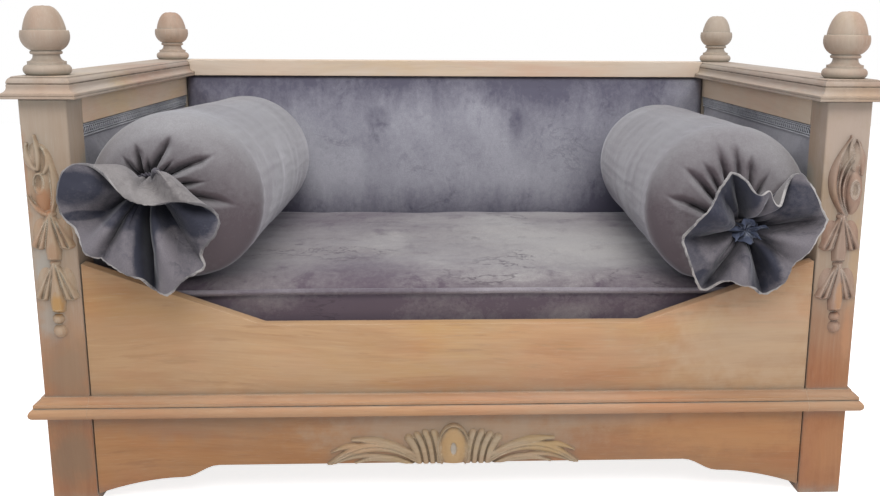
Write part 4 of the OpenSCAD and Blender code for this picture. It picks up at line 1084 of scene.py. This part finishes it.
def make_gimp(side, material, ground):
    """A band of scrolls between two cords, glued over the pad's tacks"""
    node = side + "_gimp"
    low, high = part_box(node)
    way = 1 if side == "left" else -1
    back = (low.x if side == "left" else high.x) / MM
    bottom, top = low.z / MM, high.z / MM
    front, rear = low.y / MM, high.y / MM
    middle = (bottom + top) / 2
    pitch, ply_r, lay_r, lay_turns = 7.8, 0.75, 0.55, 62
    bpy.ops.mesh.primitive_torus_add(
        major_segments=14, minor_segments=5, major_radius=0.0044, minor_radius=0.0009)
    scroll = bpy.context.object
    scroll.name = side + "_gimp_braid"
    loop = coordinates(scroll) / MM
    put_coordinates(scroll, np.stack([
        back + way * (1.35 + loop[:, 2] * 0.9 + 0.35 * np.sign(loop[:, 0])),
        front + 5.0 + loop[:, 1] * 1.12 + loop[:, 0] * 0.5,
        middle + loop[:, 0]], axis=1) * MM)
    apply_modifier(scroll, "ARRAY", count=int((rear - front) / pitch), use_relative_offset=False,
                   use_constant_offset=True, constant_offset_displace=(0, pitch * MM, 0))

    def cord(height, ply):
        def place(turn, run):
            lay = 2 * math.pi * (run * lay_turns + ply / 2)
            across = 2 * math.pi * turn
            return np.stack([back + way * (1.3 + lay_r * np.cos(lay) + ply_r * np.cos(across)),
                             front + 0.6 + (rear - front - 1.2) * run,
                             height + lay_r * np.sin(lay) + ply_r * np.sin(across)], axis=1) * MM
        piece = rolled("cord", 6, 372, place)
        close_ends(piece)
        return piece

    parts = [cord(height, ply) for height in (bottom + 1.6, top - 1.6) for ply in (0, 1)]
    bpy.ops.mesh.primitive_cube_add(size=1)
    parts.append(bpy.context.object)
    box = coordinates(parts[-1])
    put_coordinates(parts[-1], np.stack([
        back + way * (0.2 + 0.35 * (box[:, 0] + 0.5)), (front + rear) / 2 + box[:, 1] * (rear - front),
        middle + box[:, 2] * (top - bottom - 1.6)], axis=1) * MM)
    joined(scroll, parts)
    finish_piece(scroll, "frame", material, node)
    # The band under the cords has its own dark cloth, painted shade between the scrolls: only its
    # faces are this tall
    scroll.data.materials.append(ground)
    for polygon in scroll.data.polygons:
        heights = [scroll.data.vertices[v].co.z for v in polygon.vertices]
        if max(heights) - min(heights) > 0.008:
            polygon.material_index = 1


# Seat cushion, its piping, and the pads

UPPER_SEAM_Z, LOWER_SEAM_Z = 0.2543, 0.1383
SEAT_MIDDLE_Y = -0.0078
SEAT_HALF = np.array([0.411, 0.26])


def seam_wander(points):
    """How far the upper seam wanders up and down; the lower one lies flat"""
    flat = points.copy()
    flat[:, 2] = 0
    return ripple(flat, 9, 4.1) * 0.0022 * smoothstep(points[:, 2], 0.16, 0.25)


def make_seat(material, piping_material):
    piece = merged_copy("seat_cushion", "seat_cushion_velvet")
    remesh(piece, 0.008)
    low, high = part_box("seat_cushion")
    foot_held = smoothstep(-coordinates(piece)[:, 2], -(low.z + 0.004), -low.z)
    swell(piece, 0.005, 4.0, foot_held * 0.9)
    points = coordinates(piece)
    top = smoothstep(points[:, 2], high.z - 0.02, high.z - 0.006)
    side = 1 - top
    seams = np.minimum(abs(points[:, 2] - UPPER_SEAM_Z), abs(points[:, 2] - LOWER_SEAM_Z))
    outward = (points[:, :2] - [0, SEAT_MIDDLE_Y]) / SEAT_HALF
    outward /= np.maximum(np.linalg.norm(outward, axis=1, keepdims=True), 1e-6)
    pinch = np.exp(-(seams / 0.005) ** 2) * side
    points[:, :2] -= outward * (pinch * 0.002)[:, None]
    crown = ripple(points, 7, 1.3, (1, 2.0, 1)) * 0.0018 + ripple(points, 24, 6.3, (0.6, 1.8, 1)) * 0.0007
    points[:, 2] += top * crown
    points[:, :2] -= outward * (side * ripple(points, 17, 2.2, (1.4, 1.4, 0.6)) * 0.0012)[:, None]
    points[:, 2] += seam_wander(points)
    put_coordinates(piece, points)
    subdivide(piece)
    finish_piece(piece, "seat", material, "seat_cushion")

    cord = merged_copy("seat_piping", "seat_piping_velvet")
    subdivide(cord)
    points = coordinates(cord)
    points[:, 2] += seam_wander(points)
    put_coordinates(cord, points)
    finish_piece(cord, "seat", piping_material, "seat_piping")


def flat_box(node):
    """Middle and half sizes of a flat CAD node, the axis through it and the two along it"""
    low, high = (np.array(corner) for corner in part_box(node))
    half = (high - low) / 2
    thin = int(np.argmin(half))
    return (low + high) / 2, half, thin, [axis for axis in range(3) if axis != thin]


def from_border(share, half, wide):
    return (half[wide] * (1 - np.abs(share[:, wide]))).min(axis=1)


def make_pad(node, most, material):
    """A pad tacked to its board: held at its border"""
    piece = merged_copy(node, node + "_velvet")
    remesh(piece, 0.006)
    middle, half, thin, wide = flat_box(node)
    border = from_border((coordinates(piece) - middle) / half, half, wide)
    swell(piece, most, 4.0, 1 - smoothstep(border, 0.012, 0.03))
    points = coordinates(piece)
    wave = ripple(points, 9, 5.5, (1, 1, 0.7)) * 0.0014 * smoothstep(border, 0.01, 0.05)
    points[:, thin] += wave * (1 if node == "left_arm_pad" else -1)
    put_coordinates(piece, points)
    subdivide(piece)
    finish_piece(piece, "frame", material, node)


def cover_panel(node, material):
    """Cloth over a thin sheet of wadding on a board, drawn tight round its edges"""
    middle, half, thin, wide = flat_box(node)
    bpy.ops.mesh.primitive_cube_add(size=2)
    piece = bpy.context.object
    piece.name = node + "_velvet"
    with editing(piece):
        bpy.ops.mesh.subdivide(number_cuts=29)
    share = coordinates(piece)
    # Closer points at the border, where the cloth turns over the edge
    share[:, wide] = np.sin(share[:, wide] * math.pi / 2)
    border = from_border(share, half, wide)
    round_edge = np.sqrt(1 - (1 - np.clip(border / 0.004, 0, 1)) ** 2)
    points = middle + share * half
    full = 0.55 + 0.25 * round_edge + 0.2 * smoothstep(border, 0.004, 0.05)
    soft = smoothstep(border, 0.01, 0.05) * ripple(points, 8, 7.3) * 0.12
    points[:, thin] = middle[thin] + share[:, thin] * half[thin] * (full + np.minimum(soft, 0))
    put_coordinates(piece, points)
    subdivide(piece)
    finish_piece(piece, "frame", material, node)


def on_face(y, half_y, *rows):
    """Tints or patches on a face at y, from rows of x, z, half x, half z and what follows these"""
    return [((x, y, z), (half_x, half_y, half_z), *rest) for x, z, half_x, half_z, *rest in rows]


def level_lines(*rows):
    """Sharp lines all round, from rows of height, half width, colour and strength"""
    return [((0, 0, z), (9, 9, half), *rest, 0.0) for z, half, *rest in rows]


light_the_room()
lay_floor()
place_camera()
make_grain_group()
make_recess_group()
make_edge_wear_and_highlight_group()
make_pile_group()

# Timbers

boards = timber(
    "board_timber", "X", (0.55, 0.335, 0.172), (0.39, 0.205, 0.09), lime=(0.52, 0.42, 0.31),
    liming=0.28, lime_wash_and_shade=0.45, mottle=0.8, tints=on_face(
        -0.285, 0.03, (-0.35, 0.20, 0.11, 0.07, (0.44, 0.27, 0.145), 0.35, 1.0),
        (0.37, 0.20, 0.12, 0.07, (0.58, 0.44, 0.31), 0.45, 1.0)))
warm_ground, warm_streak = (0.43, 0.208, 0.080), (0.31, 0.135, 0.05)
apron = timber(
    "apron_timber", "X", warm_ground, warm_streak, lime=(0.42, 0.34, 0.25), liming=0.2,
    lime_wash_and_shade=0.6, reach=0.03, mottle=0.7, recess_colour=(0.33, 0.30, 0.25), tints=on_face(
        -0.29, 0.03, (0, 0.085, 0.17, 0.030, (0.40, 0.34, 0.26), 0.5, 1.0),
        (0.19, 0.105, 0.10, 0.016, (0.40, 0.31, 0.23), 0.4, 1.0),
        (0.33, 0.085, 0.13, 0.035, (0.54, 0.28, 0.12), 0.45, 1.0),
        (-0.30, 0.10, 0.10, 0.025, (0.30, 0.21, 0.14), 0.4, 1.0)))
side_boards = timber("side_timber", "Y", warm_ground, warm_streak, liming=0.25, lime_wash_and_shade=0.4)
post_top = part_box("front_left_post")[1].z
# The dark line round each post's top is a painted shadow under the cap
posts = timber(
    "post_timber", "Z", (0.47, 0.355, 0.26), (0.39, 0.26, 0.165), lime=(0.5, 0.44, 0.37),
    liming=0.45, lime_wash_and_shade=0.6, foot=(0.17, 0.40, (0.40, 0.19, 0.085), (0.28, 0.115, 0.05)),
    tints=level_lines((post_top, 0.0022, (0.06, 0.045, 0.035), 0.85)) + on_face(
        -0.29, 0.03, (-0.4795, 0.395, 0.006, 0.055, (0.42, 0.22, 0.12), 0.6, 0.8),
        (-0.468, 0.292, 0.012, 0.026, (0.40, 0.42, 0.40), 0.5, 0.8),
        (-0.464, 0.228, 0.014, 0.024, (0.38, 0.40, 0.37), 0.45, 0.8),
        (0.474, 0.300, 0.007, 0.055, (0.50, 0.33, 0.18), 0.5, 0.8),
        (0.472, 0.205, 0.006, 0.030, (0.50, 0.25, 0.13), 0.6, 0.8),
        (0.450, 0.44, 0.04, 0.06, (0.56, 0.45, 0.39), 0.5, 1.0),
        (0.455, 0.06, 0.03, 0.05, (0.48, 0.23, 0.10), 0.45, 1.0),
        (-0.450, 0.165, 0.03, 0.04, (0.28, 0.19, 0.12), 0.7, 1.0),
        (-0.455, 0.06, 0.03, 0.04, (0.22, 0.145, 0.09), 0.75, 1.0)))
moulding, side_moulding = (
    timber(name, grain, (0.54, 0.30, 0.15), (0.38, 0.19, 0.09), lime=(0.5, 0.42, 0.33), liming=0.25,
           lime_wash_and_shade=0.7, reach=0.008)
    for name, grain in (("moulding_timber", "X"), ("side_moulding_timber", "Y")))
# Height above a cap's foot, depth and half width of each groove in its moulding, and then half
# the width, the colour and the strength of the painted shade in it
CAP_GROOVES = (
    (0.0160, 0.0011, 0.0007, 0.0009, (0.12, 0.09, 0.07), 0.75),
    (0.0228, 0.0010, 0.0005, 0.0006, (0.16, 0.12, 0.10), 0.6),
    (0.0031, 0.0006, 0.0004, 0.0005, (0.20, 0.15, 0.12), 0.45))
cap_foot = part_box("left_arm_cap")[0].z
caps = timber(
    "cap_timber", "Y", (0.45, 0.335, 0.25), (0.33, 0.23, 0.165), lime=(0.50, 0.46, 0.41),
    liming=0.5, lime_wash_and_shade=0.3, reach=0.01, mottle=0.9, figure=0.9,
    tints=level_lines(*((cap_foot + up, *groove_shade) for up, _, _, *groove_shade in CAP_GROOVES)) + on_face(
        -0.31, 0.03, (-0.45, cap_foot + 0.006, 0.05, 0.012, (0.46, 0.30, 0.20), 0.45, 1.0),
        (0.46, cap_foot + 0.006, 0.05, 0.012, (0.48, 0.33, 0.20), 0.4, 1.0)))
# The back's top rail and the arm rails are paler than the other timbers: painted light where they face up
back_top = timber(
    "back_top_timber", "X", (0.78, 0.61, 0.46), (0.66, 0.48, 0.33), lime=(0.7, 0.64, 0.56),
    liming=0.45, lime_wash_and_shade=0.2)
arm_rails = timber(
    "arm_rail_timber", "Y", (0.86, 0.66, 0.48), (0.74, 0.54, 0.37), lime=(0.8, 0.72, 0.6),
    liming=0.35, lime_wash_and_shade=0.2)
turned = timber(
    "turned_timber", "Z", (0.47, 0.36, 0.27), (0.36, 0.25, 0.175), lime=(0.5, 0.45, 0.38),
    liming=0.45, lime_wash_and_shade=0.6, reach=0.008, mottle=0.9)
# On the carved drops the dark recess colour is painted shade and the pale arris colour a painted highlight on
# rubbed ridges; the right drop's pale tint on its cabochon ring is a painted highlight too
carved_left = timber(
    "left_carved_timber", "Z", (0.46, 0.335, 0.22), (0.37, 0.21, 0.11),
    lime=(0.5, 0.45, 0.36), liming=0.5, lime_wash_and_shade=1.0, reach=0.007, edge_wear_and_highlight=1.0, mottle=0.9,
    recess_colour=(0.15, 0.105, 0.065), arris=0.0024, arris_colour=(0.72, 0.66, 0.52),
    zoom=2.5, tints=on_face(
        -0.296, 0.02, (-0.4590, 0.368, 0.010, 0.017, (0.42, 0.19, 0.09), 0.75, 0.5),
        (-0.454, 0.309, 0.007, 0.012, (0.40, 0.22, 0.12), 0.5, 0.5),
        (-0.454, 0.248, 0.008, 0.014, (0.47, 0.25, 0.07), 0.75, 0.5)))
carved_right = timber(
    "right_carved_timber", "Z", (0.40, 0.25, 0.175), (0.26, 0.14, 0.095),
    lime=(0.47, 0.4, 0.33), liming=0.4, lime_wash_and_shade=1.0, reach=0.008, edge_wear_and_highlight=1.0, mottle=0.7,
    recess_colour=(0.09, 0.05, 0.035), arris=0.0024, arris_colour=(0.74, 0.62, 0.52),
    zoom=2.5, tints=on_face(
        -0.296, 0.02, (0.4653, 0.381, 0.0062, 0.0125, (0.56, 0.50, 0.40), 0.35, 0.2),
        (0.457, 0.252, 0.005, 0.022, (0.50, 0.26, 0.12), 0.6, 0.6),
        (0.457, 0.42, 0.012, 0.02, (0.47, 0.40, 0.32), 0.5, 0.6)))
# The shell's dark recess colour is painted shade and its pale arris colour a painted highlight on rubbed
# ridges
shell = timber(
    "shell_timber", "X", (0.44, 0.315, 0.195), (0.33, 0.215, 0.12), lime=(0.42, 0.37, 0.28),
    liming=0.4, lime_wash_and_shade=0.85, reach=0.004, edge_wear_and_highlight=0.9, mottle=0.9,
    recess_colour=(0.17, 0.12, 0.075), arris=0.002, arris_colour=(0.66, 0.54, 0.38),
    zoom=2.2, tints=on_face(
        -0.295, 0.02, (0, 0.0655, 0.0150, 0.0275, (0.50, 0.30, 0.12), 0.6, 0.15),
        (0, 0.065, 0.0036, 0.0080, (0.5, 0.5, 0.47), 0.7, 0.1),
        (-0.11, 0.068, 0.03, 0.01, (0.52, 0.31, 0.17), 0.5, 0.8),
        (0.12, 0.066, 0.03, 0.01, (0.50, 0.33, 0.15), 0.5, 0.8)))
softwood, softwood_x = (
    timber(name, grain, (0.60, 0.45, 0.27), (0.52, 0.35, 0.19), lime=(0.6, 0.5, 0.36), liming=0.1,
           lime_wash_and_shade=0.0)
    for name, grain in (("deck_softwood", "Y"), ("rail_softwood", "X")))

# Velvets, cords and metal

# The seat's pale tone is raised above the bolsters' as painted light. Its broad pale patch over the top is a
# painted reflection of the light and its deep patch at the left painted shade by the left bolster; the two on
# the front boxing pale it. Its hollows, by the piping, take painted shade
seat_velvet = velvet(
    "seat_velvet", (0.13, 0.10, 0.122), (0.475, 0.45, 0.425), brushed=0.75,
    stretch=(1.0, 0.62, 1.3), scuffs=0.5, sheen=0.8, lay=0.24, top_light=0.35, crinkle=0.7,
    fade=0.3, brush=(0.7, 1.6, 1.0), hollow_shade=0.75, reach=0.006,
    patches=[
        ((0.11, -0.03, 0.29), (0.25, 0.3, 0.045), 0.56),
        ((-0.25, -0.08, 0.28), (0.15, 0.32, 0.05), -0.26),
        ((-0.02, -0.262, 0.2), (0.07, 0.05, 0.05), 0.25),
        ((0.2, -0.262, 0.2), (0.1, 0.05, 0.05), 0.2)])
# The bolsters' folds take painted shade and their upper faces painted light from above
bolster_velvet = velvet(
    "bolster_velvet", (0.125, 0.10, 0.11), (0.385, 0.38, 0.385), brushed=0.5,
    scuffs=0.3, sheen=0.75, hollow_shade=0.9, reach=0.014, lay=0.47, top_light=0.68, crinkle=0.2)
# The ruffles' folds take painted shade and their upper faces painted light from above
ruffle_velvet = velvet(
    "ruffle_velvet", (0.12, 0.105, 0.107), (0.30, 0.278, 0.27), scuffs=0.3,
    hollow_shade=0.8, reach=0.012, top_light=0.3)
# A darker copy of the ruffle velvet for the inner side of the ruffles: painted shade. Its patches that deepen
# it are painted shade in the pockets, those that pale it painted highlights on the folds, and its hollows take
# painted shade too
mouth_velvet_shaded = velvet(
    "mouth_velvet_shaded", (0.043, 0.044, 0.062), (0.215, 0.194, 0.208), brushed=1.2, scuffs=0.4,
    sheen=0.4, hollow_shade=0.6, reach=0.03, lay=0.43, ragged=0.25, fade=0.22, patches=on_face(
        -0.32, 0.1, (-0.335, 0.357, 0.062, 0.016, -0.7), (-0.413, 0.388, 0.030, 0.020, -0.75),
        (-0.338, 0.315, 0.013, 0.056, -1.0), (-0.314, 0.312, 0.007, 0.034, 0.9),
        (-0.284, 0.352, 0.021, 0.019, -0.8), (-0.410, 0.357, 0.022, 0.006, -0.7),
        (-0.392, 0.335, 0.026, 0.015, 0.55), (-0.365, 0.305, 0.016, 0.012, 0.35),
        (0.322, 0.382, 0.017, 0.022, -0.8), (0.388, 0.372, 0.030, 0.024, -0.8),
        (0.352, 0.293, 0.019, 0.030, -0.85), (0.284, 0.284, 0.016, 0.013, -0.6),
        (0.300, 0.322, 0.024, 0.020, 0.55), (0.384, 0.325, 0.018, 0.022, 0.5),
        (0.322, 0.290, 0.008, 0.016, 0.5)))
rim_velvet = velvet(
    "rim_velvet", (0.17, 0.16, 0.165), (0.50, 0.47, 0.45), brushed=1.8, scuffs=0.6,
    stretch=(4, 4, 4))
# Its hollows take painted shade
lining = velvet(
    "lining_cloth", (0.12, 0.14, 0.21), (0.80, 0.84, 0.93), brushed=1.9, stretch=(4, 4, 4),
    sheen=0.3, hollow_shade=0.8, reach=0.004)
# The back's pale tone is raised above the bolsters' as painted light, and the broad pale band across its
# middle is a painted highlight; the small patches near its top deepen it
back_velvet = velvet(
    "back_velvet", (0.14, 0.133, 0.178), (0.52, 0.515, 0.56), stretch=(1.0, 1.0, 0.8),
    brushed=0.7, scuffs=0.45, spot=(0.31, 0.2, 0.4), sheen=0.8, lay=0.16, crinkle=0.22,
    fade=0.45, brush=(2.0, 1.0, 0.55), patches=on_face(
        0.26, 0.1, (-0.03, 0.36, 0.55, 0.085, 0.56), (-0.115, 0.415, 0.022, 0.018, -0.3),
        (0.115, 0.405, 0.012, 0.022, -0.3), (0.16, 0.43, 0.05, 0.05, -0.15)))
arm_velvet = velvet("arm_velvet", (0.19, 0.185, 0.205), (0.40, 0.39, 0.42), scuffs=0.4, sheen=0.7)
piping_velvet = velvet("piping_velvet", (0.13, 0.105, 0.125), (0.36, 0.33, 0.35), scuffs=0.3)
tie_velvet = velvet("tie_cord", (0.05, 0.045, 0.06), (0.14, 0.13, 0.15), scuffs=0.2)
# The scrolls' hollows take painted shade, and the ground under them is dark as painted shade between the
# scrolls
gimp_thread = velvet(
    "gimp_thread", (0.26, 0.265, 0.285), (0.66, 0.66, 0.69), scuffs=0.2, relief=0.1,
    hollow_shade=0.6, reach=0.002)
gimp_ground_shade = velvet("gimp_ground_shade", (0.07, 0.07, 0.085), (0.17, 0.17, 0.19), scuffs=0.2, relief=0.1)

# The material of each CAD node that needs one of its own
FINISHES = (
    (boards, "front_board"),
    (apron, "front_apron back_apron"),
    (side_boards, "left_side_rail right_side_rail left_side_apron right_side_apron"),
    (posts, " ".join(end + "_post" for end in ENDS)),
    (turned, " ".join(end + "_finial" for end in ENDS)),
    (moulding, "front_moulding left_post_moulding right_post_moulding"),
    (side_moulding, "left_side_moulding right_side_moulding"),
    (caps, "left_arm_cap right_arm_cap"),
    (back_top, "back_top_rail"),
    (arm_rails, "left_arm_rail right_arm_rail"),
    (softwood, "seat_slats corner_blocks left_arm_backing right_arm_backing rail_dowels finial_dowels"),
    (softwood_x, "seat_cleats back_upper_rail back_lower_rail back_backing"),
    (zinc(), "slat_screws"),
    (piping_velvet, "left_gimp right_gimp left_tie right_tie"),
    (carved_left, "left_post_carving"),
    (carved_right, "right_post_carving"),
    (shell, "apron_carving"),
)
for material, nodes in FINISHES:
    for node in nodes.split():
        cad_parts[node].material_slots[0].material = material

make_seat(seat_velvet, piping_velvet)
make_pad("back_pad", 0.006, back_velvet)
make_pad("left_arm_pad", 0.003, arm_velvet)
make_pad("right_arm_pad", 0.003, arm_velvet)
for side in (LEFT, RIGHT):
    bolster = make_bolster(side, bolster_velvet)
    ruffle = make_ruffle(side, ruffle_velvet, mouth_velvet_shaded, rim_velvet)
    extra = [make_tuft(side, lining)] if side is RIGHT else []
    make_tie(side, tie_velvet)
for node, cloth in (("left_outer_panel", arm_velvet), ("right_outer_panel", arm_velvet),
                    ("back_outer_panel", back_velvet)):
    cover_panel(node, cloth)
eased("front_board", boards)
eased("front_apron", apron)
for side in ("left", "right"):
    quirked(side + "_arm_cap", caps, [groove[:3] for groove in CAP_GROOVES])
for end in ENDS:
    turned_smooth(end + "_finial", turned)
for side in ("left", "right"):
    make_gimp(side, gimp_thread, gimp_ground_shade)
# Middle of each post, the height that its drop is measured from, and the face it lies on
POST_X, DROP_TOP, POST_FACE = 454, 441, -290.25
carve("right_post_drop", "right_post_carving", lambda spots: drop_height(spots, RIGHT_DROP),
      POST_X, DROP_TOP, POST_FACE, 0.6, carved_right, down=True)
carve("left_post_drop", "left_post_carving", lambda spots: drop_height(spots, LEFT_DROP),
      -POST_X, DROP_TOP, POST_FACE, 0.6, carved_left, flip=-1, down=True)
carve("apron_shell", "apron_carving", spray_height, 0, 46, -288.25, 0.75, shell)
